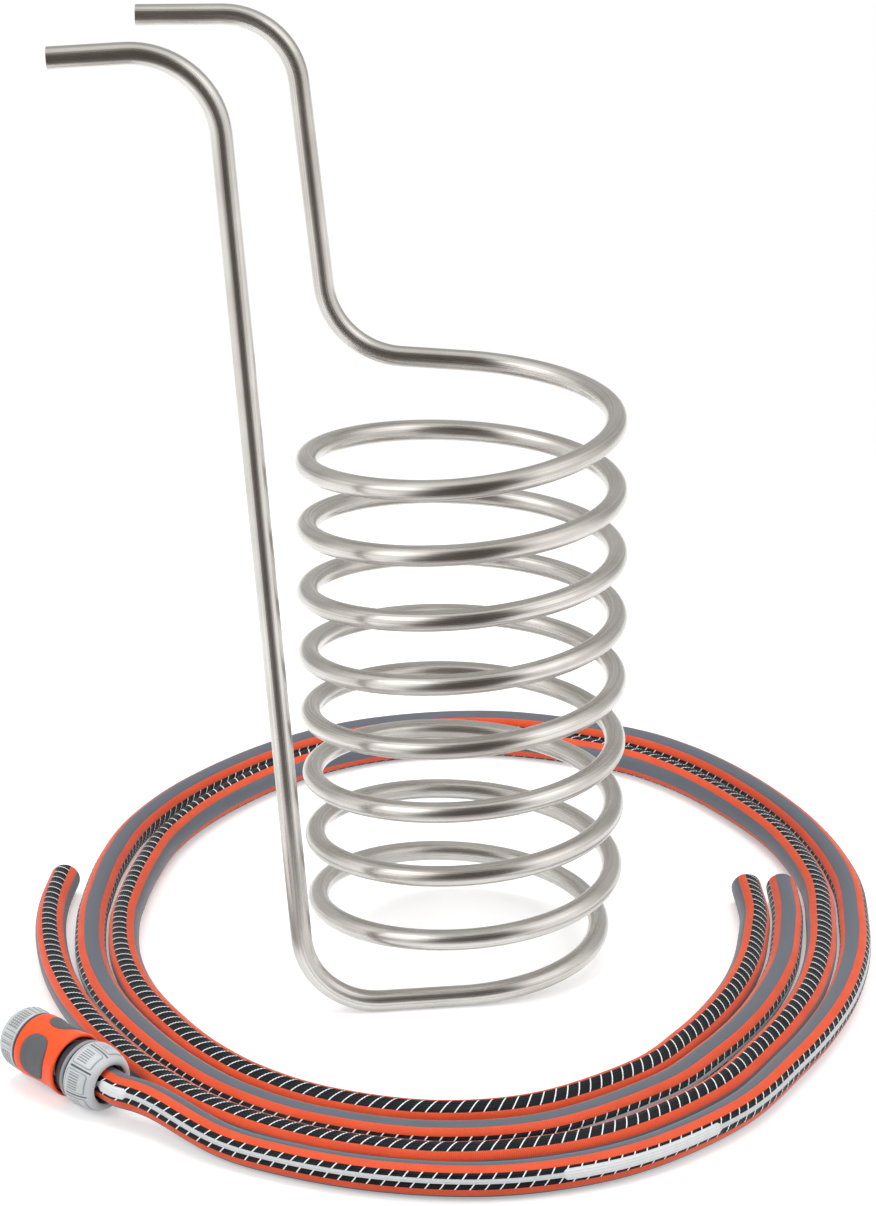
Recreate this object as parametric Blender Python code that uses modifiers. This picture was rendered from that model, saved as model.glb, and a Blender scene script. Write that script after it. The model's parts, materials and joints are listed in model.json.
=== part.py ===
"""Immersion wort chiller with its two hoses and the quick connector on one of them.

All sizes are in millimetres and become metres when a mesh is made. +X is to the right, +Y away,
+Z up, and the floor that everything stands on is z = 0. The pieces are laid out about the axis of
the coil. At the end they are moved together, so that the origin is under the middle of the chiller.
"""
from math import cos, pi, radians, sin, tan

import bpy
import bmesh
import numpy as np
from mathutils import Matrix, Vector

MM = 0.001
CLEARANCE = 0.3                    # between pieces that touch on the real object

# --- the steel tube: one length of 12 x 1 mm pipe, wound and bent --------------------------------
TUBE_OD = 12.0
TUBE_WALL = 1.0
COIL_TURNS = 8.5
COIL_RADIUS_BOTTOM = 86.0          # to the middle of the tube
COIL_RADIUS_TOP = 88.5
COIL_BARREL = 2.0                  # how far the middle turns stand out past the end turns
COIL_PITCH_BOTTOM = 41.0
COIL_PITCH_TOP = 36.9
COIL_LEAN_DEG = 0.5                # the axis leans a little to the left, as wound
FOOT_TUCK = 10.0                   # the first third of a turn is drawn in towards the foot's run
FOOT_TUCK_TURNS = 0.37
BACK_SAG = 7.0                     # wound by hand: the upper turns hang lower at the back
BACK_SAG_TURN = 5.6
BACK_SAG_SPREAD = 2.4
BACK_SAG_START = 0.1               # where in a turn it begins, counted from the front
END_LIFT = 4.6                     # the last half turn was pulled up a little
END_LIFT_FROM = 7.95
END_LIFT_OVER = 0.3
FOOT_FLAT_DEPTH = 0.5              # the foot is cut flat where it stands
RINGS_PER_TURN = 24
RINGS_PER_BEND = 5

FRONT_CORNER_X = -90.7             # where the front riser's line meets the foot's line
FRONT_CORNER_Y = -89.0             # the foot runs out a little towards the front
FRONT_LEAN_DEG = 4.5               # both risers lean out to the left
FRONT_HEIGHT = 562.8               # where the riser's line meets the spout's line
FRONT_SPOUT_END_X = -222.3
FRONT_SPOUT_DROOP_DEG = 3.5
REAR_CORNER_X = -78.6
REAR_LEAN_DEG = 6.1
REAR_HEIGHT = 545.6
REAR_SPOUT_END_X = -188.8
REAR_SPOUT_DROOP_DEG = 0.5
FRONT_FOOT_BEND_RADIUS = 46.0
FRONT_TOP_BEND_RADIUS = 48.0
REAR_FOOT_BEND_RADIUS = 49.0
REAR_TOP_BEND_RADIUS = 43.5

# --- the hoses: 13 mm bore, lying in a double ring round the coil --------------------------------
HOSE_BORE = 13.0
HOSE_WALL = 2.8
HOSE_OD = HOSE_BORE + 2 * HOSE_WALL
HOSE_STEP_DEG = 15.0               # between two rings of a hose, seen from the coil's axis
# Routes by hand: angle from +X in degrees, distance from the coil's axis.
SUPPLY_ROUTE = [(-126, 286), (-115, 295), (-102, 302), (-90, 305), (-80, 300.5), (-70, 289.5),
                (-57, 270), (-44, 249), (-33, 239), (-22, 233.5), (-10, 231.5), (2, 233.5),
                (18, 246.2), (35, 266.2), (50, 291), (62, 315), (72, 329), (86, 339), (100, 331.5),
                (113, 311), (128, 283.5), (142, 261), (155, 241.5), (168, 228.5), (177, 224.2),
                (190, 222.5), (203, 224), (215, 227.5), (228, 236.2), (240, 247), (252, 255),
                (266, 259), (280, 252), (297, 229.8), (310, 212), (322, 201), (334, 194),
                (346, 191.3), (357, 191.5), (368, 196.7), (379.3, 206.1)]
DRAIN_ROUTE = [(-198.4, 259), (-190, 252.5), (-182, 248), (-173, 244.5), (-164, 243.5),
               (-154, 244.5), (-143, 248.6), (-132, 256.4), (-120, 268.4), (-108, 277), (-98, 281),
               (-90, 282), (-80, 277), (-70, 266), (-57, 247.7), (-44, 228.6), (-33, 219),
               (-22, 213.8), (-10, 211.6), (2, 213.6), (18, 225.7), (35, 243.7), (50, 264.5),
               (62, 286), (72, 299), (86, 307.5), (100, 301), (113, 282.5), (128, 256),
               (142, 235), (155, 217.5), (168, 207.5), (177, 204.3), (190, 202.7), (203, 204.1),
               (215, 207.5), (228, 216), (240, 225.2), (252, 232), (266, 235), (280, 228),
               (297, 208.1), (310, 191), (322, 180.1), (334, 173.8), (346, 171), (357, 171.6),
               (368, 176.5), (381.4, 185.9)]
HOSE_DROP_LENGTH = 95.0            # over which the hose comes down from the connector to the floor

# --- the quick connector, turned about its own axis -----------------------------------------------
# Distances along it are from its open nose towards the hose. It stands on its nut, and the stiff
# hose holds the nose a little off the floor.
CONNECTOR_NOSE = (-248.2, -160.5)
CONNECTOR_HEADING_DEG = -44.5
CONNECTOR_PITCH_DEG = 3.5          # the nose is held up
NUT_STANDS_AT = 61.0               # where along the axis it touches the floor
TURN_STEPS = 24

SOCKET_RADIUS = 8.6
SOCKET_FRONT = 7.4
SOCKET_DEPTH = 17.0
SOCKET_WALL = 2.0
CORE_STEP = 22.2                   # behind it the core is thicker, and guides the sleeve
CORE_STEP_HEIGHT = 0.9
WATERWAY_RADIUS = 4.2
FLANGE_RADIUS = 17.4
FLANGE_FRONT = 52.0
FLANGE_THICKNESS = 4.0
FLANGE_STEP = 1.2                  # the part of it that is no wider than the collar
SPIGOT_LENGTH = 7.0
SPIGOT_WALL = 2.0
BARB_HEIGHT = 0.5
BARB_COUNT = 3
BARB_LENGTH = 4.5
BARBS_TO_MOUTH = 4.0               # how far inside the nut's mouth the last barb ends

SPRING_WIRE = 1.2
SPRING_TURNS = 5
SPRING_PLAY = 0.8                  # between the spring and the core

SLEEVE_TRAVEL = 3.5
SLEEVE_FRONT = 14.8
SLEEVE_GUIDE_LENGTH = 11.4
SLEEVE_WALL = 3.4
SLEEVE_FRONT_RISE = 0.7            # how far the front end stands out past the waist
SLEEVE_FLARE_RISE = 1.0
SLEEVE_SKIRT_WALL = 1.9            # round the core's collar
SLEEVE_SKIRT_DEPTH = 4.3
SLEEVE_END_PLAY = 0.7              # left before the flange when it is pulled right back

RING_GAP = 0.5                     # the seam between the front ring and the sleeve
RING_STEP = 0.3                    # how far the ring stays under the sleeve's front end
RING_NOSE_DRAW_IN = 1.7
RING_MOUTH_RADIUS = 9.4

GRIP_COUNT = 3
GRIP_MIDDLE = 29.5                 # along the axis
GRIP_HALF_LENGTH = 9.2
GRIP_HALF_WIDTH = 14.0
GRIP_DEPTH = 1.6
GRIP_PROUD = 0.4
GRIP_TURN_DEG = 78.0               # the first grip, from straight up towards the camera's side

CLAW_COUNT = 3
CLAW_FRONT = 10.4
CLAW_LENGTH = 3.6
CLAW_WIDTH = 5.0
CLAW_REACH = 0.6                   # how far a claw stands into the socket
CLAW_LIFT = 1.2                    # how far it moves out while the sleeve is pulled back
CLAW_RISE = 2.2                    # from the core's surface up to the cone over the claw's front
CLAW_CORNER_DROP = 0.4             # a claw's flat top lies lower, so its corners clear the cone
CLAW_TURN_DEG = 60.0

SEAL_THICKNESS = 2.6
SEAL_BORE_RADIUS = 5.6

NUT_RADIUS = 18.5
NUT_MOUTH_RADIUS = 14.2
NUT_LENGTH = 19.2
NUT_GAP = 0.8                      # between the flange and the nut
NUT_THREAD_PLAY = 0.8
NUT_MOUTH_DEPTH = 2.6
NUT_CONE_RISE = 1.2                # the narrow end of the cone over the mouth
THREAD_PITCH = 3.0
NUT_TURNS = 2                      # to loosen it

COLLET_SLOTS = 6
COLLET_SLOT_WIDTH = 1.2
COLLET_RING_LENGTH = 2.5           # the part that the slots leave whole

# --- sizes that follow ---------------------------------------------------------------------------
TUBE_RADIUS = TUBE_OD / 2
HOSE_RADIUS = HOSE_OD / 2
BORE_RADIUS = HOSE_BORE / 2
OCTAGON = cos(pi / 8)              # an eight-sided tube's flats over its corners
HEXAGON = cos(pi / 6)
HOSE_CORNER = HOSE_RADIUS / OCTAGON

CORE_FRONT_RADIUS = SOCKET_RADIUS + SOCKET_WALL
CORE_RADIUS = CORE_FRONT_RADIUS + CORE_STEP_HEIGHT
SOCKET_BACK = SOCKET_FRONT + SOCKET_DEPTH
FLANGE_BACK = FLANGE_FRONT + FLANGE_THICKNESS
SPIGOT_INNER = HOSE_CORNER + 2 * CLEARANCE
SPIGOT_OUTER = SPIGOT_INNER + SPIGOT_WALL
SPIGOT_END = FLANGE_BACK + SPIGOT_LENGTH

SPRING_RADIUS = CORE_RADIUS + SPRING_PLAY + SPRING_WIRE / 2
SLEEVE_GUIDE_RADIUS = CORE_RADIUS + 2 * CLEARANCE
SLEEVE_CHAMBER_RADIUS = SPRING_RADIUS + SPRING_WIRE / 2 + 2 * CLEARANCE
SLEEVE_WAIST_RADIUS = SLEEVE_CHAMBER_RADIUS + SLEEVE_WALL
SLEEVE_FRONT_RADIUS = SLEEVE_WAIST_RADIUS + SLEEVE_FRONT_RISE
SLEEVE_FLARE_RADIUS = SLEEVE_WAIST_RADIUS + SLEEVE_FLARE_RISE
SLEEVE_SHOULDER = SLEEVE_FRONT + SLEEVE_GUIDE_LENGTH
SLEEVE_BACK = FLANGE_FRONT - SLEEVE_TRAVEL - SLEEVE_END_PLAY
SLEEVE_SKIRT_RADIUS = SLEEVE_FLARE_RADIUS - SLEEVE_SKIRT_WALL
COLLAR_RADIUS = SLEEVE_SKIRT_RADIUS - 2 * CLEARANCE
COLLAR_BORE_RADIUS = SLEEVE_CHAMBER_RADIUS
COLLAR_FRONT = SLEEVE_BACK + CLEARANCE
GRIP_FLOOR_RADIUS = SLEEVE_WAIST_RADIUS + GRIP_PROUD - GRIP_DEPTH
CAM_SLOPE = CLAW_LIFT / SLEEVE_TRAVEL

NUT_FRONT = FLANGE_BACK + NUT_GAP
NUT_BACK = NUT_FRONT + NUT_LENGTH
NUT_TRAVEL = NUT_TURNS * THREAD_PITCH
NUT_BORE_RADIUS = SPIGOT_OUTER + NUT_THREAD_PLAY
NUT_BORE_MOUTH_RADIUS = HOSE_CORNER + 3 * CLEARANCE
NUT_CONE_FRONT = SPIGOT_END + CLEARANCE
NUT_CONE_BACK = NUT_BACK - NUT_MOUTH_DEPTH
CONNECTOR_HEIGHT = max(NUT_RADIUS, SLEEVE_FLARE_RADIUS) + CLEARANCE

# --- colours, linear ----------------------------------------------------------------------------
STEEL = ("stainless_steel", (0.62, 0.60, 0.57), 0.28, 1.0)
HOSE_ORANGE = ("hose_rubber", (0.79, 0.13, 0.05), 0.5, 0.0)
PALE_GREY = ("pale_grey_plastic", (0.60, 0.61, 0.62), 0.45, 0.0)
ORANGE = ("orange_plastic", (0.85, 0.11, 0.03), 0.4, 0.0)
DARK_GREY = ("dark_grey_soft_plastic", (0.10, 0.10, 0.11), 0.65, 0.0)
BLACK = ("black_plastic", (0.02, 0.02, 0.025), 0.5, 0.0)
SEAL_RUBBER = ("seal_rubber", (0.015, 0.015, 0.015), 0.7, 0.0)
SPRING_STEEL = ("spring_steel", (0.55, 0.55, 0.55), 0.3, 1.0)


def clear_scene():
    for item in list(bpy.data.objects):
        bpy.data.objects.remove(item, do_unlink=True)


def new_collection(name):
    collection = bpy.data.collections.new(name)
    bpy.context.scene.collection.children.link(collection)
    return collection


def material(spec):
    """The Principled material of this name, made once."""
    name, colour, roughness, metallic = spec
    found = bpy.data.materials.get(name)
    if found:
        return found
    made = bpy.data.materials.new(name)
    made.use_nodes = True
    shader = made.node_tree.nodes["Principled BSDF"]
    shader.inputs["Base Color"].default_value = (*colour, 1.0)
    shader.inputs["Roughness"].default_value = roughness
    shader.inputs["Metallic"].default_value = metallic
    return made


def place(name, mesh, collection, finish=None, parent=None):
    """A new object for a mesh, in a collection, under a parent."""
    item = bpy.data.objects.new(name, mesh)
    collection.objects.link(item)
    if finish:
        mesh.materials.append(material(finish))
    if parent:
        item.parent = parent
    return item


def hide_as_cutter(item):
    item.hide_render = True
    item.display_type = "WIRE"
    return item


def shade_round(item, angle_deg=40.0):
    item.data.shade_smooth()
    item.data.set_sharp_from_angle(angle=radians(angle_deg))


# --- curves and tubes ----------------------------------------------------------------------------
def through_points(points, count):
    """count points, evenly spaced, on a Catmull-Rom curve through the given points."""
    given = np.array(points, float)
    ends = np.vstack([2 * given[0] - given[1], given, 2 * given[-1] - given[-2]])
    steps = np.linspace(0, 1, 12, endpoint=False)[:, None]
    fine = []
    for a, b, c, d in zip(ends, ends[1:], ends[2:], ends[3:]):
        fine.append(0.5 * (2 * b + (c - a) * steps + (2 * a - 5 * b + 4 * c - d) * steps ** 2
                           + (3 * b - a - 3 * c + d) * steps ** 3))
    fine = np.vstack(fine + [given[-1:]])
    return evenly(fine, count)


def evenly(line, count):
    """count points, evenly spaced by length, on a polyline."""
    run = np.r_[0, np.cumsum(np.linalg.norm(np.diff(line, axis=0), axis=1))]
    at = np.linspace(0, run[-1], count)
    return np.column_stack([np.interp(at, run, line[:, k]) for k in range(3)])


def bend(before, corner, after, radius, rings):
    """Points of the round bend that replaces a corner, from one leg to the other."""
    before, corner, after = (np.array(p, float) for p in (before, corner, after))
    back = (before - corner) / np.linalg.norm(before - corner)
    ahead = (after - corner) / np.linalg.norm(after - corner)
    half = np.arccos(np.clip(back @ ahead, -1, 1)) / 2
    middle = (back + ahead) / np.linalg.norm(back + ahead)
    centre = corner + middle * radius / sin(half)
    first = corner + back * radius / tan(half) - centre
    last = corner + ahead * radius / tan(half) - centre
    whole = pi - 2 * half
    share = np.linspace(0, 1, rings + 1)[:, None]
    return centre + (np.sin((1 - share) * whole) * first + np.sin(share * whole) * last) / sin(whole)


def tube_mesh(points, radius, resolution, tilt=0.0):
    """A closed tube along the points, in metres, as a mesh with welded caps."""
    curve = bpy.data.curves.new("guide", "CURVE")
    curve.dimensions = "3D"
    curve.bevel_depth = radius * MM
    curve.bevel_resolution = resolution
    curve.render_resolution_u = 0
    curve.use_fill_caps = True
    spline = curve.splines.new("POLY")
    spline.points.add(len(points) - 1)
    for point, (x, y, z) in zip(spline.points, points):
        point.co = (x * MM, y * MM, z * MM, 1)
        point.tilt = tilt
    guide = bpy.data.objects.new("guide", curve)
    bpy.context.scene.collection.objects.link(guide)
    evaluated = guide.evaluated_get(bpy.context.evaluated_depsgraph_get())
    mesh = bpy.data.meshes.new_from_object(evaluated)
    mesh.transform(guide.matrix_world)
    bpy.data.objects.remove(guide)
    shape = bmesh.new()
    shape.from_mesh(mesh)
    bmesh.ops.remove_doubles(shape, verts=shape.verts, dist=0.01 * MM)
    shape.to_mesh(mesh)
    shape.free()
    return mesh


def run_past(points, extra):
    """The points with both ends moved out along the line by an extra length."""
    longer = np.array(points, float)
    for end, inner in ((0, 1), (-1, -2)):
        way = longer[end] - longer[inner]
        longer[end] += way / np.linalg.norm(way) * extra
    return longer


def bored_tube(name, points, outer, bore, finish, parts, cutters):
    """A hose or pipe: an eight-sided tube, flat side down, with a six-sided bore cut right through."""
    piece = place(name, tube_mesh(points, outer / OCTAGON, 2, pi / 8), parts, finish)
    cutter = place(name + "_bore", tube_mesh(run_past(points, 2.0), bore / HEXAGON, 1), cutters)
    hide_as_cutter(cutter)
    cut(piece, cutter)
    return piece


def cut(piece, cutter, operation="DIFFERENCE"):
    step = piece.modifiers.new(operation.lower() + "_" + cutter.name, "BOOLEAN")
    step.operation = operation
    step.solver = "EXACT"
    step.object = cutter


def least_gap(line, others, diameter, skip=0.0):
    """The least distance between the surfaces of two round tubes, or of one tube and itself."""
    run = np.r_[0, np.cumsum(np.linalg.norm(np.diff(line, axis=0), axis=1))]
    least = 1e9
    for k, point in enumerate(line):
        far = np.linalg.norm(others - point, axis=1)
        if skip:
            far = far[np.abs(run - run[k]) > skip]
        if len(far):
            least = min(least, far.min())
    return least - diameter


# --- the chiller ---------------------------------------------------------------------------------
FOOT_Z = TUBE_RADIUS - FOOT_FLAT_DEPTH


def coil_point(turn):
    """The middle of the tube after so many turns up from the foot, which is at the front."""
    share = turn / COIL_TURNS
    radius = COIL_RADIUS_BOTTOM + (COIL_RADIUS_TOP - COIL_RADIUS_BOTTOM) * share
    radius += COIL_BARREL * sin(pi * share)
    radius -= FOOT_TUCK * np.exp(-(turn / FOOT_TUCK_TURNS) ** 2)
    angle = radians(-90) + 2 * pi * turn
    height = FOOT_Z + COIL_PITCH_BOTTOM * turn
    height += (COIL_PITCH_TOP - COIL_PITCH_BOTTOM) * turn ** 2 / (2 * COIL_TURNS)
    lean = -tan(radians(COIL_LEAN_DEG)) * (height - FOOT_Z)
    sag = BACK_SAG * np.exp(-((turn - BACK_SAG_TURN) / BACK_SAG_SPREAD) ** 2)
    sag *= (1 - cos(2 * pi * (turn - BACK_SAG_START))) / 2
    rise = min(max((turn - END_LIFT_FROM) / END_LIFT_OVER, 0.0), 1.0)
    height += END_LIFT * rise ** 2 * (3 - 2 * rise) - sag
    return np.array([lean + radius * cos(angle), radius * sin(angle), height])


def riser_and_spout(start, corner, lean_deg, top_z, spout_end_x, droop_deg, foot_bend, top_bend):
    """From the coil: a straight run to the corner, a bend up, the leaning riser, a bend, the spout.
    The riser and its spout stand in the corner's plane, across the Y direction."""
    corner_x, plane, corner_z = corner
    top = (corner_x - tan(radians(lean_deg)) * (top_z - corner_z), plane, top_z)
    end_z = top_z - tan(radians(droop_deg)) * (top[0] - spout_end_x)
    end = (spout_end_x, plane, end_z)
    lower = bend(start, corner, top, foot_bend, RINGS_PER_BEND)
    upper = bend(corner, top, end, top_bend, RINGS_PER_BEND)
    return np.vstack([lower, upper, [end]])


def chiller_line():
    """The middle of the whole tube: front spout, riser, foot, coil, rear riser, rear spout."""
    coil = np.array([coil_point(k / RINGS_PER_TURN)
                     for k in range(int(round(COIL_TURNS * RINGS_PER_TURN)) + 1)])
    slope = COIL_PITCH_TOP / (2 * pi * COIL_RADIUS_TOP)
    rear_corner_z = coil[-1][2] + slope * (coil[-1][0] - REAR_CORNER_X)
    front = riser_and_spout(coil[0], (FRONT_CORNER_X, FRONT_CORNER_Y, FOOT_Z), FRONT_LEAN_DEG,
                            FRONT_HEIGHT, FRONT_SPOUT_END_X, FRONT_SPOUT_DROOP_DEG,
                            FRONT_FOOT_BEND_RADIUS, FRONT_TOP_BEND_RADIUS)
    rear = riser_and_spout(coil[-1], (REAR_CORNER_X, coil[-1][1], rear_corner_z), REAR_LEAN_DEG,
                           REAR_HEIGHT, REAR_SPOUT_END_X, REAR_SPOUT_DROOP_DEG,
                           REAR_FOOT_BEND_RADIUS, REAR_TOP_BEND_RADIUS)
    return np.vstack([front[::-1], coil, rear])


def build_chiller(parts, cutters):
    line = chiller_line()
    piece = bored_tube("chiller_tube", line, TUBE_RADIUS, TUBE_RADIUS - TUBE_WALL, STEEL,
                       parts, cutters)
    floor = bmesh.new()
    bmesh.ops.create_cube(floor, size=1.0)
    block = bpy.data.meshes.new("below_floor")
    floor.to_mesh(block)
    floor.free()
    side = 4 * COIL_RADIUS_TOP
    depth = 2 * TUBE_OD
    block.transform(Matrix.Translation((0, 0, -depth / 2 * MM))
                    @ Matrix.Diagonal((side * MM, side * MM, depth * MM, 1)))
    cut(piece, hide_as_cutter(place("below_floor", block, cutters)))
    shade_round(piece, 60)
    fine = evenly(line, 3000)
    print("chiller tube: length %.0f mm, least gap to itself %.2f mm"
          % (np.linalg.norm(np.diff(line, axis=0), axis=1).sum(),
             least_gap(fine, fine, TUBE_OD, 60.0)))
    return piece


# --- the hoses -----------------------------------------------------------------------------------
def connector_way():
    """The unit direction of the connector's axis, from its nose towards the hose."""
    heading, pitch = radians(CONNECTOR_HEADING_DEG), radians(CONNECTOR_PITCH_DEG)
    return np.array([cos(heading) * cos(pitch), sin(heading) * cos(pitch), -sin(pitch)])


def connector_point(along):
    """A point on the connector's axis, so far from its nose."""
    way = connector_way()
    nose = np.array([*CONNECTOR_NOSE, CONNECTOR_HEIGHT - NUT_STANDS_AT * way[2]])
    return nose + along * way


def on_floor(route):
    return [(r * cos(radians(a)), r * sin(radians(a)), HOSE_RADIUS) for a, r in route]


def by_angle(line):
    """The line's two ends, and between them its points at whole steps of angle round the coil's
    axis, so that the rings of neighbouring strands stand side by side."""
    angle = np.degrees(np.unwrap(np.arctan2(line[:, 1], line[:, 0])))
    margin = 0.4 * HOSE_STEP_DEG
    first = int(np.ceil((angle[0] + margin) / HOSE_STEP_DEG))
    last = int(np.floor((angle[-1] - margin) / HOSE_STEP_DEG))
    at = np.arange(first, last + 1) * HOSE_STEP_DEG
    rings = np.column_stack([np.interp(at, angle, line[:, k]) for k in range(3)])
    return np.vstack([line[:1], rings, line[-1:]])


def supply_line():
    """From inside the connector, straight out of its nut, down to the floor and round the ring."""
    inside = FLANGE_BACK + CLEARANCE
    straight = NUT_BACK + NUT_TRAVEL + 3.0
    ring = through_points([connector_point(straight)] + on_floor(SUPPLY_ROUTE), 2000)
    run = np.r_[0, np.cumsum(np.linalg.norm(np.diff(ring, axis=0), axis=1))]
    down = np.clip(run / HOSE_DROP_LENGTH, 0, 1)
    height = ring[0, 2]
    ring[:, 2] = height + (HOSE_RADIUS - height) * down ** 2 * (3 - 2 * down)
    return np.vstack([[connector_point(inside)], by_angle(ring)])


def drain_line():
    return by_angle(through_points(on_floor(DRAIN_ROUTE), 2000))


def build_hoses(parts, cutters):
    lines = {"supply_hose": supply_line(), "drain_hose": drain_line()}
    for name, line in lines.items():
        piece = bored_tube(name, line, HOSE_RADIUS, BORE_RADIUS, HOSE_ORANGE, parts, cutters)
        shade_round(piece, 60)
        fine = evenly(line, 1500)
        print("%s: length %.0f mm, least gap to itself %.2f mm"
              % (name, np.linalg.norm(np.diff(line, axis=0), axis=1).sum(),
                 least_gap(fine, fine, HOSE_OD, 200.0)))
    supply, drain = (evenly(line, 1500) for line in lines.values())
    print("least gap between the hoses %.2f mm" % least_gap(supply, drain, HOSE_OD))


# --- the connector -------------------------------------------------------------------------------
def turned(name, profile, finish, collection, parent):
    """A turned piece. The profile of (radius, along) pairs runs down its outer side from the hose
    end to the nose, and back up its bore."""
    mesh = bpy.data.meshes.new(name)
    count = len(profile)
    mesh.from_pydata([(r * MM, 0, s * MM) for r, s in profile],
                     [(k, (k + 1) % count) for k in range(count)], [])
    piece = place(name, mesh, collection, finish, parent)
    screw = piece.modifiers.new("turn", "SCREW")
    screw.axis = "Z"
    screw.steps = TURN_STEPS
    screw.render_steps = TURN_STEPS
    screw.use_merge_vertices = False
    screw.use_smooth_shade = False
    return piece


def radial_block(name, along, length, width, inner, outer, turn_deg, collection, parent,
                 finish=None, slope=0.0):
    """A block that reaches out from the axis; its outer face falls by slope towards the hose."""
    drop = slope * length
    corners = [(r, w, s) for s, top in ((along, outer), (along + length, outer - drop))
               for r, w in ((inner, -width / 2), (top, -width / 2), (top, width / 2),
                            (inner, width / 2))]
    shape = bmesh.new()
    verts = [shape.verts.new((x * MM, y * MM, z * MM)) for x, y, z in corners]
    bmesh.ops.convex_hull(shape, input=verts)
    shape.transform(Matrix.Rotation(radians(turn_deg), 4, "Z"))
    mesh = bpy.data.meshes.new(name)
    shape.to_mesh(mesh)
    shape.free()
    return place(name, mesh, collection, finish, parent)


def around(count, first_deg):
    return [first_deg + 360.0 * k / count for k in range(count)]


def core_profile():
    """Barbed tail, spigot, flange, the collar round the spring's end, the core's outer side, the
    socket and the waterway."""
    edge = 0.6
    root = BORE_RADIUS - BARB_HEIGHT - CLEARANCE
    tail_end = NUT_BACK - BARBS_TO_MOUTH
    teeth = []
    for k in range(BARB_COUNT):
        back = tail_end - k * BARB_LENGTH
        teeth += [(root, back), (root + BARB_HEIGHT, back - 0.8 * BARB_LENGTH)]
    return teeth + [
        (root, tail_end - BARB_COUNT * BARB_LENGTH), (root, FLANGE_BACK - edge),
        (SPIGOT_INNER, FLANGE_BACK - edge), (SPIGOT_INNER, SPIGOT_END),
        (SPIGOT_OUTER, SPIGOT_END), (SPIGOT_OUTER, FLANGE_BACK), (FLANGE_RADIUS, FLANGE_BACK),
        (FLANGE_RADIUS, FLANGE_FRONT + FLANGE_STEP), (COLLAR_RADIUS, FLANGE_FRONT + FLANGE_STEP),
        (COLLAR_RADIUS, COLLAR_FRONT), (COLLAR_BORE_RADIUS, COLLAR_FRONT),
        (COLLAR_BORE_RADIUS, FLANGE_FRONT), (CORE_RADIUS, FLANGE_FRONT), (CORE_RADIUS, CORE_STEP),
        (CORE_FRONT_RADIUS, CORE_STEP - edge), (CORE_FRONT_RADIUS, SOCKET_FRONT),
        (SOCKET_RADIUS, SOCKET_FRONT), (SOCKET_RADIUS, SOCKET_BACK),
        (WATERWAY_RADIUS, SOCKET_BACK), (WATERWAY_RADIUS, tail_end)]


def build_core(parts, cutters, axis):
    core = turned("connector_body", core_profile(), BLACK, parts, axis)
    for k, turn in enumerate(around(CLAW_COUNT, CLAW_TURN_DEG)):
        window = radial_block("claw_window_%d" % (k + 1), CLAW_FRONT - CLEARANCE,
                              CLAW_LENGTH + 2 * CLEARANCE, CLAW_WIDTH + 2 * CLEARANCE,
                              SOCKET_RADIUS - SOCKET_WALL, CORE_FRONT_RADIUS + SOCKET_WALL,
                              turn, cutters, axis)
        cut(core, hide_as_cutter(window))
    return core


def cam_radius(along):
    """The inside of the front ring's cone over the claws, with the sleeve at rest."""
    return CORE_FRONT_RADIUS + CLAW_RISE - CAM_SLOPE * (along - CLAW_FRONT)


def build_claws(parts, axis):
    top = cam_radius(CLAW_FRONT) - CLEARANCE - CLAW_CORNER_DROP
    for k, turn in enumerate(around(CLAW_COUNT, CLAW_TURN_DEG)):
        radial_block("locking_claw_%d" % (k + 1), CLAW_FRONT, CLAW_LENGTH, CLAW_WIDTH,
                     SOCKET_RADIUS - CLAW_REACH, top, turn, parts, axis, PALE_GREY, CAM_SLOPE)


def build_seal(parts, axis):
    back = SOCKET_BACK - CLEARANCE
    outer = SOCKET_RADIUS - CLEARANCE
    chamfer = 0.6
    turned("socket_seal", [(outer - chamfer, back), (outer, back - chamfer),
                           (outer, back - SEAL_THICKNESS + chamfer),
                           (outer - chamfer, back - SEAL_THICKNESS),
                           (SEAL_BORE_RADIUS + chamfer, back - SEAL_THICKNESS),
                           (SEAL_BORE_RADIUS, back - SEAL_THICKNESS + chamfer),
                           (SEAL_BORE_RADIUS, back - chamfer),
                           (SEAL_BORE_RADIUS + chamfer, back)], SEAL_RUBBER, parts, axis)


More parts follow.
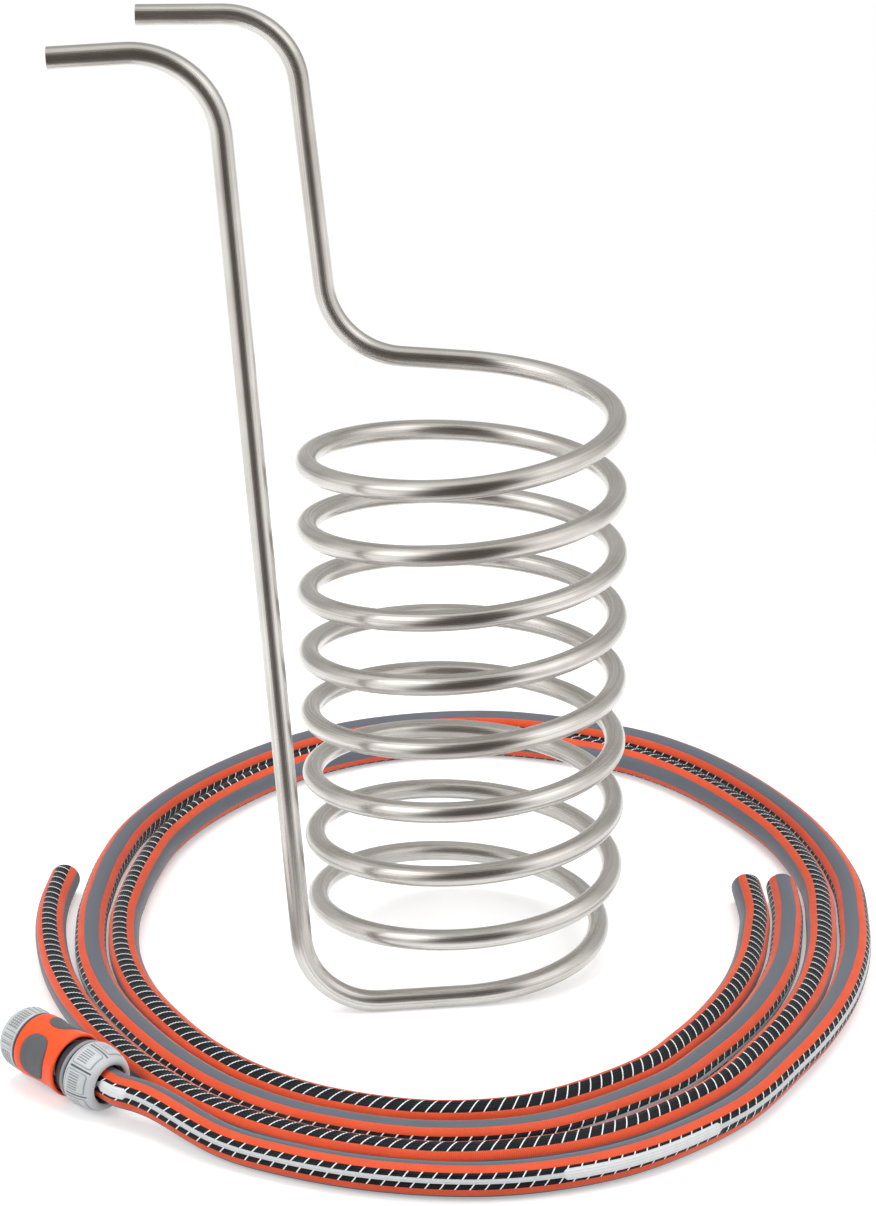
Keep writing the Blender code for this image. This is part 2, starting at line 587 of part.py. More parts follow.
def build_sleeve(parts, cutters, axis):
    """The orange sleeve: guided on the core in front, with the spring's chamber behind, and at
    its end a skirt that slides over the core's collar."""
    edge = 0.5
    past_grips = GRIP_MIDDLE + GRIP_HALF_LENGTH
    sleeve = turned("release_sleeve", [
        (SLEEVE_FLARE_RADIUS - edge, SLEEVE_BACK), (SLEEVE_FLARE_RADIUS, SLEEVE_BACK - 1.2),
        (SLEEVE_FLARE_RADIUS - edge, SLEEVE_BACK - 3.5), (SLEEVE_WAIST_RADIUS, past_grips + 2.5),
        (SLEEVE_WAIST_RADIUS, GRIP_MIDDLE), (SLEEVE_FRONT_RADIUS, SLEEVE_FRONT + 3.0),
        (SLEEVE_FRONT_RADIUS - edge, SLEEVE_FRONT), (SLEEVE_GUIDE_RADIUS, SLEEVE_FRONT),
        (SLEEVE_GUIDE_RADIUS, SLEEVE_SHOULDER), (SLEEVE_CHAMBER_RADIUS, SLEEVE_SHOULDER),
        (SLEEVE_CHAMBER_RADIUS, SLEEVE_BACK - SLEEVE_SKIRT_DEPTH),
        (SLEEVE_SKIRT_RADIUS, SLEEVE_BACK - SLEEVE_SKIRT_DEPTH),
        (SLEEVE_SKIRT_RADIUS, SLEEVE_BACK)], ORANGE, parts, axis)
    for k, turn in enumerate(around(GRIP_COUNT, GRIP_TURN_DEG)):
        pocket = grip_shape("grip_pocket_%d" % (k + 1), GRIP_FLOOR_RADIUS - CLEARANCE,
                            SLEEVE_FRONT_RADIUS + GRIP_DEPTH, CLEARANCE, turn, cutters, axis)
        cut(sleeve, hide_as_cutter(pocket))
        grip = grip_shape("soft_grip_%d" % (k + 1), GRIP_FLOOR_RADIUS,
                          GRIP_FLOOR_RADIUS + GRIP_DEPTH, 0.0, turn, parts, axis, DARK_GREY)
        shade_round(grip)
    return sleeve


def grip_shape(name, inner, outer, grow, turn_deg, collection, axis, finish=None):
    """The part of a thin shell that lies inside an oval seen along the radius: two curved sheets,
    one at each radius, whose edges follow the oval, joined by a wall."""
    sides, rows = 24, 3
    shape = bmesh.new()
    layers = []
    for radius in (inner, outer):
        rings = []
        for row in range(1, rows + 1):
            share = row / rows
            ring = []
            for k in range(sides):
                angle = 2 * pi * k / sides
                along = GRIP_MIDDLE + (GRIP_HALF_LENGTH + grow) * share * cos(angle)
                wrap = (GRIP_HALF_WIDTH + grow) * share * sin(angle) / SLEEVE_WAIST_RADIUS
                wrap += radians(turn_deg)
                ring.append(shape.verts.new((radius * cos(wrap) * MM, radius * sin(wrap) * MM,
                                             along * MM)))
            rings.append(ring)
        middle = shape.verts.new((radius * cos(radians(turn_deg)) * MM,
                                  radius * sin(radians(turn_deg)) * MM, GRIP_MIDDLE * MM))
        layers.append((middle, rings))
    for k in range(sides):
        after = (k + 1) % sides
        for middle, rings in layers:
            shape.faces.new((middle, rings[0][k], rings[0][after]))
            for low, high in zip(rings, rings[1:]):
                shape.faces.new((low[k], high[k], high[after], low[after]))
        inner_edge, outer_edge = layers[0][1][-1], layers[1][1][-1]
        shape.faces.new((inner_edge[k], outer_edge[k], outer_edge[after], inner_edge[after]))
    bmesh.ops.recalc_face_normals(shape, faces=shape.faces)
    mesh = bpy.data.meshes.new(name)
    shape.to_mesh(mesh)
    shape.free()
    return place(name, mesh, collection, finish, axis)


def build_front_ring(parts, axis):
    """The pale front ring: its cone holds the claws in until the sleeve is pulled back."""
    edge = 0.8
    back = SLEEVE_FRONT - RING_GAP
    radius = SLEEVE_FRONT_RADIUS - RING_STEP
    nose_radius = radius - RING_NOSE_DRAW_IN
    cam_start = SOCKET_FRONT - SLEEVE_TRAVEL - 1.0
    land = CORE_FRONT_RADIUS + 2 * CLEARANCE
    cam_end = min(CLAW_FRONT + (cam_radius(CLAW_FRONT) - land) / CAM_SLOPE, back)
    turned("front_ring", [
        (radius - 0.4, back), (radius, back - 1.0), (radius - 0.3, 4.0), (nose_radius, edge),
        (nose_radius - 2 * edge, 0.0), (RING_MOUTH_RADIUS + edge, 0.0), (RING_MOUTH_RADIUS, edge),
        (RING_MOUTH_RADIUS, cam_start - 0.4), (cam_radius(cam_start), cam_start),
        (cam_radius(cam_end), cam_end)], PALE_GREY, parts, axis)


def build_spring(parts, axis):
    """The sleeve's return spring, drawn as short as it is with the sleeve pulled right back."""
    seat = FLANGE_FRONT - CLEARANCE - SPRING_WIRE / 2
    front = SLEEVE_SHOULDER + SLEEVE_TRAVEL + CLEARANCE + SPRING_WIRE / 2
    points_per_turn = 10
    count = SPRING_TURNS * points_per_turn
    points = [(SPRING_RADIUS * cos(2 * pi * k / points_per_turn),
               SPRING_RADIUS * sin(2 * pi * k / points_per_turn),
               front + (seat - front) * k / count) for k in range(count + 1)]
    spring = place("sleeve_spring", tube_mesh(points, SPRING_WIRE / 2, 1), parts, SPRING_STEEL, axis)
    shade_round(spring, 60)
    fine = evenly(np.array(points), 800)
    print("sleeve spring: least gap to itself %.2f mm"
          % least_gap(fine, fine, SPRING_WIRE, pi * SPRING_RADIUS))


def build_nut(parts, axis):
    """The domed nut: a straight bore over the spigot, then a cone that closes the collet."""
    turned("clamp_nut", [
        (NUT_MOUTH_RADIUS, NUT_BACK), (NUT_MOUTH_RADIUS + 1.6, NUT_BACK - 2.0),
        (NUT_RADIUS - 1.2, NUT_BACK - 6.5), (NUT_RADIUS - 0.2, NUT_BACK - 11.5),
        (NUT_RADIUS, NUT_FRONT + 2.5), (NUT_RADIUS - 0.5, NUT_FRONT),
        (NUT_BORE_RADIUS, NUT_FRONT), (NUT_BORE_RADIUS, NUT_CONE_FRONT),
        (NUT_BORE_MOUTH_RADIUS + NUT_CONE_RISE, NUT_CONE_BACK),
        (NUT_BORE_MOUTH_RADIUS, NUT_CONE_BACK), (NUT_BORE_MOUTH_RADIUS, NUT_BACK)],
        PALE_GREY, parts, axis)


def build_collet(parts, cutters, axis):
    """The slotted ring that the nut's cone presses on to the hose."""
    front = NUT_CONE_FRONT + CLEARANCE
    back = NUT_CONE_BACK - CLEARANCE
    narrowing = NUT_BORE_RADIUS - NUT_BORE_MOUTH_RADIUS - NUT_CONE_RISE
    slope = narrowing / (NUT_CONE_BACK - NUT_CONE_FRONT)
    wide = NUT_BORE_RADIUS - 1.6 * CLEARANCE
    inner = HOSE_CORNER + CLEARANCE
    collet = turned("hose_collet", [
        (wide - slope * (back - NUT_CONE_FRONT), back),
        (wide - slope * (front - NUT_CONE_FRONT), front), (inner, front), (inner, back)],
        BLACK, parts, axis)
    for k, turn in enumerate(around(COLLET_SLOTS, 30.0)):
        slot = radial_block("collet_slot_%d" % (k + 1), front + COLLET_RING_LENGTH, back - front,
                            COLLET_SLOT_WIDTH, inner - SPIGOT_WALL, wide + SPIGOT_WALL, turn,
                            cutters, axis)
        cut(collet, hide_as_cutter(slot))


def build_connector(parts, cutters):
    """Every piece is made about the Z axis with its nose at the origin, and this empty lays that
    axis down, with the pieces' X direction up."""
    along = Vector(connector_way())
    side = along.cross(Vector((0, 0, 1))).normalized()
    up = side.cross(along)
    axis = bpy.data.objects.new("connector_axis", None)
    parts.objects.link(axis)
    turn = Matrix((up, side, along)).transposed().to_4x4()
    axis.matrix_world = Matrix.Translation(Vector(connector_point(0.0)) * MM) @ turn
    axis.empty_display_size = 10 * MM
    bpy.context.view_layer.update()
    for piece in (build_core(parts, cutters, axis), build_sleeve(parts, cutters, axis)):
        shade_round(piece)
    build_front_ring(parts, axis)
    build_claws(parts, axis)
    build_seal(parts, axis)
    build_spring(parts, axis)
    build_nut(parts, axis)
    build_collet(parts, cutters, axis)


def stand_over_origin(piece, collections):
    """Everything moves together until the middle of this piece's box is over the origin."""
    graph = bpy.context.evaluated_depsgraph_get()
    mesh = bpy.data.meshes.new_from_object(piece.evaluated_get(graph))
    spots = np.array([vertex.co for vertex in mesh.vertices])
    bpy.data.meshes.remove(mesh)
    middle = (spots.min(axis=0) + spots.max(axis=0)) / 2
    print("coil's axis at x %.4f mm, y %.4f mm" % (-middle[0] / MM, -middle[1] / MM))
    for collection in collections:
        for item in collection.objects:
            if item.parent is None:
                item.location.x -= middle[0]
                item.location.y -= middle[1]


def main():
    clear_scene()
    parts = new_collection("immersion_wort_chiller")
    cutters = new_collection("cutters")
    chiller = build_chiller(parts, cutters)
    build_hoses(parts, cutters)
    build_connector(parts, cutters)
    stand_over_origin(chiller, (parts, cutters))


main()
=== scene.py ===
"""Immersion wort chiller: the steel coil, its two striped hoses and the quick connector.

Sizes are in metres. +X is to the right, +Y away, +Z up, and the floor is z = 0.
"""
import json

import bmesh
import bpy
import numpy as np
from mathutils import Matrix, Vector


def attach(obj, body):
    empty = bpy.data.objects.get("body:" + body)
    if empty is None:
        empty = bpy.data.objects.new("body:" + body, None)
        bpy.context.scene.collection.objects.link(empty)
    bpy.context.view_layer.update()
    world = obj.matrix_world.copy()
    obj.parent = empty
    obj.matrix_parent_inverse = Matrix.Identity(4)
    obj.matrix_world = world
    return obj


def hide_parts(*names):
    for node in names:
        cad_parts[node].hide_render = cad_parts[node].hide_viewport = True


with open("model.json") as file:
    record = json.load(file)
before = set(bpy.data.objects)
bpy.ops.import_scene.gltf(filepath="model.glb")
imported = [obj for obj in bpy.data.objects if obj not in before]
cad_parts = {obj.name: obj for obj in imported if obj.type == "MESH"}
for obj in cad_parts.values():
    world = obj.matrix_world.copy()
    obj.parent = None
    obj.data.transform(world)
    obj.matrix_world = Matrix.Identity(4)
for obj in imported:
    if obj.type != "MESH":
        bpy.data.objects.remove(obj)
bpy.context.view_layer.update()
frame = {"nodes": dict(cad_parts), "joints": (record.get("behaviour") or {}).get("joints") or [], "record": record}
joints = {joint["name"]: joint for joint in frame["joints"]}
openings = {space["name"]: np.array(space["box_m"])
            for space in frame["record"]["physics"]["openings"]}
coil_axis = openings["coil_inside_wide"].mean(axis=0) * (1, 1, 0)

# ---- Materials in nodes ----
class Tree:
    """A node tree that is being built. What goes into an input is a socket or a plain value."""

    def __init__(self, node_tree):
        self.nodes, self.links = node_tree.nodes, node_tree.links
        self.nodes.clear()

    def new(self, kind, inputs=(), **settings):
        """A node: its settings first, then its inputs by name or number."""
        made = self.nodes.new("ShaderNode" + kind)
        for key, value in settings.items():
            setattr(made, key, value)
        for key, value in dict(inputs).items():
            if isinstance(value, bpy.types.NodeSocket):
                self.links.new(value, made.inputs[key])
            else:
                made.inputs[key].default_value = value
        return made

    def math(self, operation, *values):
        """The result of a math node."""
        return self.new("Math", enumerate(values), operation=operation).outputs[0]

    def step(self, value, low, high):
        """0 below low, 1 above high, with a smooth step between."""
        return self.new("MapRange", {"Value": value, "From Min": low, "From Max": high},
                        interpolation_type="SMOOTHSTEP").outputs[0]

    def mix(self, share, first, second):
        """A mix of two colours."""
        first, second = ((*c, 1) if isinstance(c, tuple) else c for c in (first, second))
        inputs = {"Factor": share, "A": first, "B": second}
        return self.new("Mix", inputs, data_type="RGBA").outputs["Result"]

    def blend(self, share, first, second):
        """A mix of two shaders."""
        return self.new("MixShader", enumerate((share, first, second))).outputs[0]

    def facing(self, way, target):
        """The cosine between a unit direction and a fixed one."""
        return self.new("VectorMath", {0: way, 1: target}, operation="DOT_PRODUCT").outputs["Value"]

    def uv(self):
        """u and v, the share of the round and the length along."""
        spot = self.new("UVMap", uv_map="UVMap").outputs[0]
        parts = self.new("SeparateXYZ", {0: spot}).outputs
        return parts["X"], parts["Y"]

    def attribute(self, name):
        return self.new("Attribute", attribute_name=name).outputs["Fac"]

    def group(self, group, **inputs):
        """The outputs of a node group that is placed with its own values."""
        inputs = {key.replace("_", " "): value for key, value in inputs.items()}
        return self.new("Group", inputs, node_tree=group).outputs

    def bump(self, height, distance, strength):
        inputs = {"Height": height, "Distance": distance, "Strength": strength}
        return self.new("Bump", inputs).outputs[0]

    def surface(self, shader, kind="OutputMaterial"):
        """The end of the tree."""
        self.new(kind, {"Surface": shader})


def new_material(name):
    """A material and its empty tree."""
    made = bpy.data.materials.new(name)
    made.use_nodes = True
    return made, Tree(made.node_tree)


# ---- The table that it stands on ----
# A white sweep of paper under soft lamps. It keeps the shadows, and shows white wherever it is
# looked at. In the steel's mirror image its front fades into the dark room behind the camera.
FLOOR_CORNERS = ((-3.0, -1.05), (3.0, -1.05), (3.0, 6.0), (-3.0, 6.0))
FLOOR_DROP = 0.0004
PAPER = (0.8, 0.8, 0.8, 1)
WHITE = (1, 1, 1, 1)
PAPER_GLOW = 0.35
NEAR_RADIUS = 0.55
FAR_RADIUS = 1.1
MIRRORED_PAPER = (1.35, 1.34, 1.32)
MIRRORED_FRONT = (0.13, 0.115, 0.105)
DARK_FRONT_FROM, DARK_FRONT_TO = 0.06, 0.42        # how far in front of the coil it fades in
DARK_FRONT_EDGE, DARK_FRONT_HALF = 0.68, 0.92      # cosines of its half width, seen from the coil


def placed(name, data):
    """An object in the scene."""
    made = bpy.data.objects.new(name, data)
    bpy.context.collection.objects.link(made)
    return made


def aim(piece, place, target):
    """Puts a camera or a lamp at a place and turns it to its target."""
    piece.location = place
    piece.rotation_euler = (Vector(target) - Vector(place)).to_track_quat("-Z", "Y").to_euler()


floor = placed("floor", bpy.data.meshes.new("floor"))
floor.data.from_pydata([(x, y, -FLOOR_DROP) for x, y in FLOOR_CORNERS], [], [(0, 1, 2, 3)])
paper, tree = new_material("white_paper")
rays = tree.new("LightPath").outputs
looked_at = tree.math("MAXIMUM", rays["Is Camera Ray"], rays["Is Glossy Ray"])
looked_at = tree.math("MAXIMUM", looked_at, rays["Is Transmission Ray"])
place = tree.new("TexCoord").outputs["Object"]
reach = tree.new("VectorMath", {0: place}, operation="LENGTH").outputs["Value"]
forward = tree.math("MULTIPLY", tree.new("SeparateXYZ", {0: place}).outputs["Y"], -1.0)
matt = tree.new("BsdfDiffuse", {"Color": PAPER}).outputs[0]
glow = tree.new("Emission", {"Strength": tree.math("MULTIPLY", looked_at, PAPER_GLOW)}).outputs[0]
lit = tree.new("AddShader", {0: matt, 1: glow}).outputs[0]
white = tree.new("Emission", {"Strength": looked_at}).outputs[0]
away = tree.step(reach, NEAR_RADIUS, FAR_RADIUS)
dark = tree.math("MULTIPLY", tree.step(forward, DARK_FRONT_FROM, DARK_FRONT_TO), tree.step(
    tree.math("DIVIDE", forward, reach), DARK_FRONT_EDGE, DARK_FRONT_HALF))
image = tree.new("Emission", {"Color": tree.mix(dark, MIRRORED_PAPER, MIRRORED_FRONT)}).outputs[0]
as_image = tree.math("MULTIPLY", rays["Is Glossy Ray"], tree.math("MAXIMUM", away, dark))
tree.surface(tree.blend(as_image, tree.blend(away, lit, white), image))
floor.data.materials.append(paper)

# ---- The camera ----
# A long lens about two metres in front and one metre up, looking down by 20 degrees.
CAMERA_PLACE = (0.04827, -2.11461, 0.98653)
CAMERA_TARGET = (0.04827, 0.0, 0.21944)
CAMERA_LENS_MM = 159.83
SENSOR_WIDTH_MM = 36.0

lens = bpy.data.cameras.new("camera")
lens.lens = CAMERA_LENS_MM
lens.sensor_fit = "HORIZONTAL"
lens.sensor_width = SENSOR_WIDTH_MM
camera = placed("camera", lens)
aim(camera, CAMERA_PLACE, CAMERA_TARGET)
bpy.context.scene.camera = camera
bpy.context.scene.view_settings.view_transform = "Standard"

# ---- The lamps and the room ----
# Three soft boxes light it. What the steel mirrors is the room: white at the sides with the glow of
# two lamps, a dark wall behind the camera as its dark middle line, and grey towards the back.
SOFT_BOXES = {
    "soft_box_left": ((-1.9, -1.3, 1.9), (1.3, 1.6), 38.0),
    "soft_box_right": ((2.0, -0.9, 1.7), (1.2, 1.6), 24.0),
    "soft_box_top": ((0.1, 0.3, 2.6), (2.2, 1.8), 43.0),
}
LAMP_TARGET = (0.05, 0.0, 0.2)
ROOM_LIGHT = 0.47
ROOM_SIDES = (1.15, 1.14, 1.12)
ROOM_BACK = (0.62, 0.61, 0.595)
BACK_FROM, BACK_TO = 0.0, 0.55     # the +Y part of a direction over which it turns grey
DARK_WALL = (0.125, 0.107, 0.096)
WALL_WAY = (0.08, -0.9968, 0.0)
WALL_FLATTEN = 0.35                # the wall is taller than it is wide
WALL_EDGE, WALL_HALF = 0.68, 0.90  # cosines of its half width, seen from the object
# The way to each lamp's glow, the cosines of its edge and its heart, and its colour.
LAMP_GLOWS = (
    ((-0.672, -0.448, 0.586), 0.90, 0.985, (2.5, 2.48, 2.42)),
    ((0.735, -0.350, 0.580), 0.90, 0.985, (1.8, 1.78, 1.74)),
)

for name, (spot, size, power) in SOFT_BOXES.items():
    light = bpy.data.lights.new(name, "AREA")
    light.shape = "RECTANGLE"
    light.size, light.size_y = size
    light.energy = power
    lamp = placed(name, light)
    lamp.visible_glossy = False
    aim(lamp, spot, LAMP_TARGET)


room = bpy.data.worlds.new("room")
room.use_nodes = True
tree = Tree(room.node_tree)
rays = tree.new("LightPath").outputs
way = tree.new("TexCoord").outputs["Generated"]
flat = tree.new("VectorMath", {0: way, 1: (1, 1, WALL_FLATTEN)}, operation="MULTIPLY").outputs[0]
unit = tree.new("VectorMath", {0: flat}, operation="NORMALIZE").outputs[0]
behind = tree.step(tree.facing(way, (0, 1, 0)), BACK_FROM, BACK_TO)
in_wall = tree.step(tree.facing(unit, WALL_WAY), WALL_EDGE, WALL_HALF)
colour = tree.mix(in_wall, tree.mix(behind, ROOM_SIDES, ROOM_BACK), DARK_WALL)
for target, edge, heart, glow_colour in LAMP_GLOWS:
    colour = tree.mix(tree.step(tree.facing(way, target), edge, heart), colour, glow_colour)
mirrored = tree.new("Background", {"Color": colour}).outputs[0]
even = tree.new("Background", {"Color": WHITE, "Strength": ROOM_LIGHT}).outputs[0]
seen = tree.new("Background", {"Color": WHITE}).outputs[0]
by_gloss = tree.blend(rays["Is Glossy Ray"], even, mirrored)
tree.surface(tree.blend(rays["Is Camera Ray"], by_gloss, seen), "OutputWorld")
bpy.context.scene.world = room

# ---- The two hoses ----
# Garden hose of 13 mm bore: a dark inner tube, a knitted white thread and a skin with four orange
# stripes between two grey and two ribbed black bands. They lie on the floor in a double ring.
HOSE_RADIUS = 0.0093
HOSE_BORE_RADIUS = 0.0065
HOSE_SIDES = 144
HOSE_RING_STEP = 0.005
CURVE_STEPS = 24                   # between two of a route's points
CONNECTOR_AXIS = np.array(joints["nut_turn"]["axis"])
CONNECTOR_SIDE = np.cross(CONNECTOR_AXIS, (0.0, 0.0, 1.0))
CONNECTOR_SIDE /= np.linalg.norm(CONNECTOR_SIDE)
CONNECTOR_UP = np.cross(CONNECTOR_SIDE, CONNECTOR_AXIS)
NUT_PIVOT_ALONG = 0.066            # the record's point on the axis, from the nose
CONNECTOR_NOSE = np.array(joints["nut_turn"]["pos_m"]) - NUT_PIVOT_ALONG * CONNECTOR_AXIS
HOSE_INSIDE = 0.0563               # where the hose begins inside the connector
HOSE_STRAIGHT = 0.085
HOSE_STRAIGHT_STEP = 0.0041
HOSE_DROP_LENGTH = 0.095

# Angle from +X in degrees and distance from the coil's axis.
SUPPLY_ROUTE = [
    (-126, 0.286), (-115, 0.295), (-102, 0.302), (-90, 0.305), (-80, 0.3005), (-70, 0.2895),
    (-57, 0.270), (-44, 0.249), (-33, 0.239), (-22, 0.2335), (-10, 0.2315), (2, 0.2335),
    (18, 0.2462), (35, 0.2662), (50, 0.291), (62, 0.315), (72, 0.329), (86, 0.339),
    (100, 0.3315), (113, 0.311), (128, 0.2835), (142, 0.261), (155, 0.2415), (168, 0.2285),
    (177, 0.2242), (190, 0.2225), (203, 0.224), (215, 0.2275), (228, 0.2362), (240, 0.247),
    (252, 0.255), (266, 0.259), (280, 0.252), (297, 0.2298), (310, 0.212), (322, 0.201),
    (334, 0.194), (346, 0.1913), (357, 0.1915), (368, 0.1967), (379.3, 0.2061)]
DRAIN_ROUTE = [
    (-198.4, 0.259), (-190, 0.2525), (-182, 0.248), (-173, 0.2445), (-164, 0.2435),
    (-154, 0.2445), (-143, 0.2486), (-132, 0.2564), (-120, 0.2684), (-108, 0.277), (-98, 0.281),
    (-90, 0.282), (-80, 0.277), (-70, 0.266), (-57, 0.2477), (-44, 0.2286), (-33, 0.219),
    (-22, 0.2138), (-10, 0.2116), (2, 0.2136), (18, 0.2257), (35, 0.2437), (50, 0.2645),
    (62, 0.286), (72, 0.299), (86, 0.3075), (100, 0.301), (113, 0.2825), (128, 0.256),
    (142, 0.235), (155, 0.2175), (168, 0.2075), (177, 0.2043), (190, 0.2027), (203, 0.2041),
    (215, 0.2075), (228, 0.216), (240, 0.2252), (252, 0.232), (266, 0.235), (280, 0.228),
    (297, 0.2081), (310, 0.191), (322, 0.1801), (334, 0.1738), (346, 0.171), (357, 0.1716),
    (368, 0.1765), (381.4, 0.1859)]


def smooth_line(points, step):
    """Points at an even step on the Catmull-Rom curve through the given ones. Between b and c the
    curve is half of 2b + (c-a)t + (2a-5b+4c-d)t2 + (3b-a-3c+d)t3."""
    given = np.array(points, float)
    ends = np.vstack([2 * given[0] - given[1], given, 2 * given[-1] - given[-2]])
    a, b, c, d = (ends[k:len(ends) - 3 + k, None] for k in range(4))
    t = np.linspace(0, 1, CURVE_STEPS, endpoint=False)[None, :, None]
    fine = 0.5 * (2 * b + (c - a) * t + (2 * a - 5 * b + 4 * c - d) * t ** 2
                  + (3 * b - a - 3 * c + d) * t ** 3)
    return evenly(np.vstack([fine.reshape(-1, 3), given[-1:]]), step)


def lengths_along(line):
    """How far along a polyline each of its points lies."""
    return np.r_[0, np.cumsum(np.linalg.norm(np.diff(line, axis=0), axis=1))]


def evenly(line, step):
    """The polyline's points again, spaced evenly by about the step."""
    run = lengths_along(line)
    at = np.linspace(0, run[-1], int(round(run[-1] / step)) + 1)
    return np.column_stack([np.interp(at, run, line[:, k]) for k in range(3)])


def across(line):
    """Two unit directions square to a line at each point: up, and to the right of its travel,
    which is along x Z. On a ring that runs round counter-clockwise the right is outwards."""
    along = np.gradient(line, axis=0)
    along /= np.linalg.norm(along, axis=1)[:, None]
    right = np.cross(along, (0.0, 0.0, 1.0))
    right /= np.linalg.norm(right, axis=1)[:, None]
    return np.cross(right, along), right


def uv_grid(columns, down):
    """u is the share of the round, v is given for each row. One row and column more."""
    share = np.arange(columns + 1) / columns
    return np.stack(np.broadcast_arrays(share[None, :], down[:, None]), axis=-1)


def closed_grid(name, points, uv, extra=None):
    """A grid of points as one closed surface: the last row meets the first, and the last column
    the first. The sign of the enclosed volume tells whether the faces look outwards."""
    rows, columns = points.shape[:2]
    i, j = np.meshgrid(np.arange(rows), np.arange(columns), indexing="ij")
    down, over = (i + 1) % rows, (j + 1) % columns
    quads = np.stack([i * columns + j, i * columns + over, down * columns + over,
                      down * columns + j], axis=-1).reshape(-1, 4)
    spots = np.stack([uv[:-1, :-1], uv[:-1, 1:], uv[1:, 1:], uv[1:, :-1]], axis=2).reshape(-1, 4, 2)
    flat_points = points.reshape(-1, 3)
    a, b, c, d = (flat_points[quads[:, k]] - flat_points.mean(axis=0) for k in range(4))
    volume = (np.cross(a, b) * c).sum() + (np.cross(a, c) * d).sum()
    if volume < 0:
        quads, spots = quads[:, ::-1], spots[:, ::-1]
    mesh = bpy.data.meshes.new(name)
    mesh.from_pydata(flat_points.tolist(), [], quads.tolist())
    layer = mesh.uv_layers.new(name="UVMap")
    layer.data.foreach_set("uv", np.ascontiguousarray(spots, dtype=np.float32).ravel())
    for key, values in (extra or {}).items():
        attribute = mesh.attributes.new(key, "FLOAT", "POINT")
        attribute.data.foreach_set("value", np.ascontiguousarray(values, dtype=np.float32).ravel())
    mesh.shade_smooth()
    return placed(name, mesh)


def pipe(line, angle, outer, rim, bore_step=6):
    """A pipe with open ends: its points, uv, and how deep in the rim each point is. Rows run out
    along the line with the outer radii, in over the rim's, and back along the bore."""
    run = lengths_along(line)
    back = np.unique(np.r_[0, np.arange(len(line))[::-bore_step]])[::-1]
    columns = angle.shape[1]
    order = np.r_[np.arange(len(line)), np.full(len(rim), len(line) - 1), back,
                  np.full(len(rim), 0)]
    inner = np.r_[rim, np.full(len(back), rim[-1]), rim[::-1]]
    radius = np.vstack([outer, np.outer(inner, np.ones(columns))])
    going_in = np.arange(1, len(rim) + 1) / len(rim)
    depth = np.r_[np.zeros(len(line)), going_in, np.ones(len(back)), going_in[::-1]]
    up, right = across(line)
    turn = angle[order]
    points = (line[order][:, None] + (radius * np.cos(turn))[..., None] * up[order][:, None]
              + (radius * np.sin(turn))[..., None] * right[order][:, None])
    return points, uv_grid(columns, run[np.r_[order, order[:1]]]), np.repeat(depth, columns)


# The stripes, as half widths in degrees of the hose's round, from the middle of a black band.
BLACK_HALF = 29.0
GREY_FROM = 61.0
RIB_STEP_DEG = 9.6
RIB_HEIGHT = 0.00013
GROOVE_DEPTH, GROOVE_DEG = 0.00018, 1.6            # between two stripes
# How far the stripes are turned outwards from straight up: at the front, and more for each lap.
SUPPLY_TURN_DEG, SUPPLY_TWIST_DEG = 70.0, 18.0
DRAIN_TURN_DEG, DRAIN_TWIST_DEG = 8.0, 12.0


def hose_shape(line, turn_deg, twist_deg):
    """Radius and angle of a striped hose: fine ribs on the black bands, and a groove at each edge
    of an orange stripe. The angle turns with the lap round the coil's axis."""
    lap = np.unwrap(np.arctan2(line[:, 1] - coil_axis[1], line[:, 0] - coil_axis[0]))
    lap += np.round((np.radians(-90) - lap[len(lap) // 4]) / (2 * np.pi)) * 2 * np.pi
    turn = np.radians(turn_deg + twist_deg * (lap + np.pi / 2) / (2 * np.pi))
    share = np.arange(HOSE_SIDES) / HOSE_SIDES
    angle = 2 * np.pi * share[None, :] + turn[:, None]
    off = np.abs((2 * share + 0.5) % 1.0 - 0.5) * 180.0    # degrees from a black band's middle
    ribs = RIB_HEIGHT * np.cos(2 * np.pi * off / RIB_STEP_DEG) * (off < BLACK_HALF - 2)
    groove = GROOVE_DEPTH * sum(np.exp(-((off - edge) / GROOVE_DEG) ** 2)
                                for edge in (BLACK_HALF, GREY_FROM))
    radius = np.tile(HOSE_RADIUS - RIB_HEIGHT + ribs - groove, (len(line), 1))
    return radius, angle


def round_the_ring(route, start=None):
    """The line of a hose on the floor. A start's line comes first, and the hose goes down from
    its end by 3s2 - 2s3."""
    angle, distance = np.radians([a for a, r in route]), np.array([r for a, r in route])
    points = np.column_stack([coil_axis[0] + distance * np.cos(angle),
                              coil_axis[1] + distance * np.sin(angle),
                              np.full(len(route), HOSE_RADIUS)])
    if start is None:
        return smooth_line(points, HOSE_RING_STEP)
    line = smooth_line(np.vstack([start[-1:], points]), HOSE_RING_STEP)
    down = np.clip(lengths_along(line) / HOSE_DROP_LENGTH, 0, 1)
    height = start[-1, 2]
    line[:, 2] = height + (HOSE_RADIUS - height) * down ** 2 * (3 - 2 * down)
    return np.vstack([start[:-1], line])


def new_group(name, inputs, outputs):
    """A node group with its sockets, its tree, what it is given and where its results go."""
    group = bpy.data.node_groups.new(name, "ShaderNodeTree")
    for key, value in inputs:
        group.interface.new_socket(
            key, in_out="INPUT", socket_type="NodeSocketFloat").default_value = value
    for key in outputs:
        group.interface.new_socket(key, in_out="OUTPUT", socket_type="NodeSocketFloat")
    tree = Tree(group)
    given, result = tree.nodes.new("NodeGroupInput"), tree.nodes.new("NodeGroupOutput")
    return group, tree, given.outputs, result.inputs


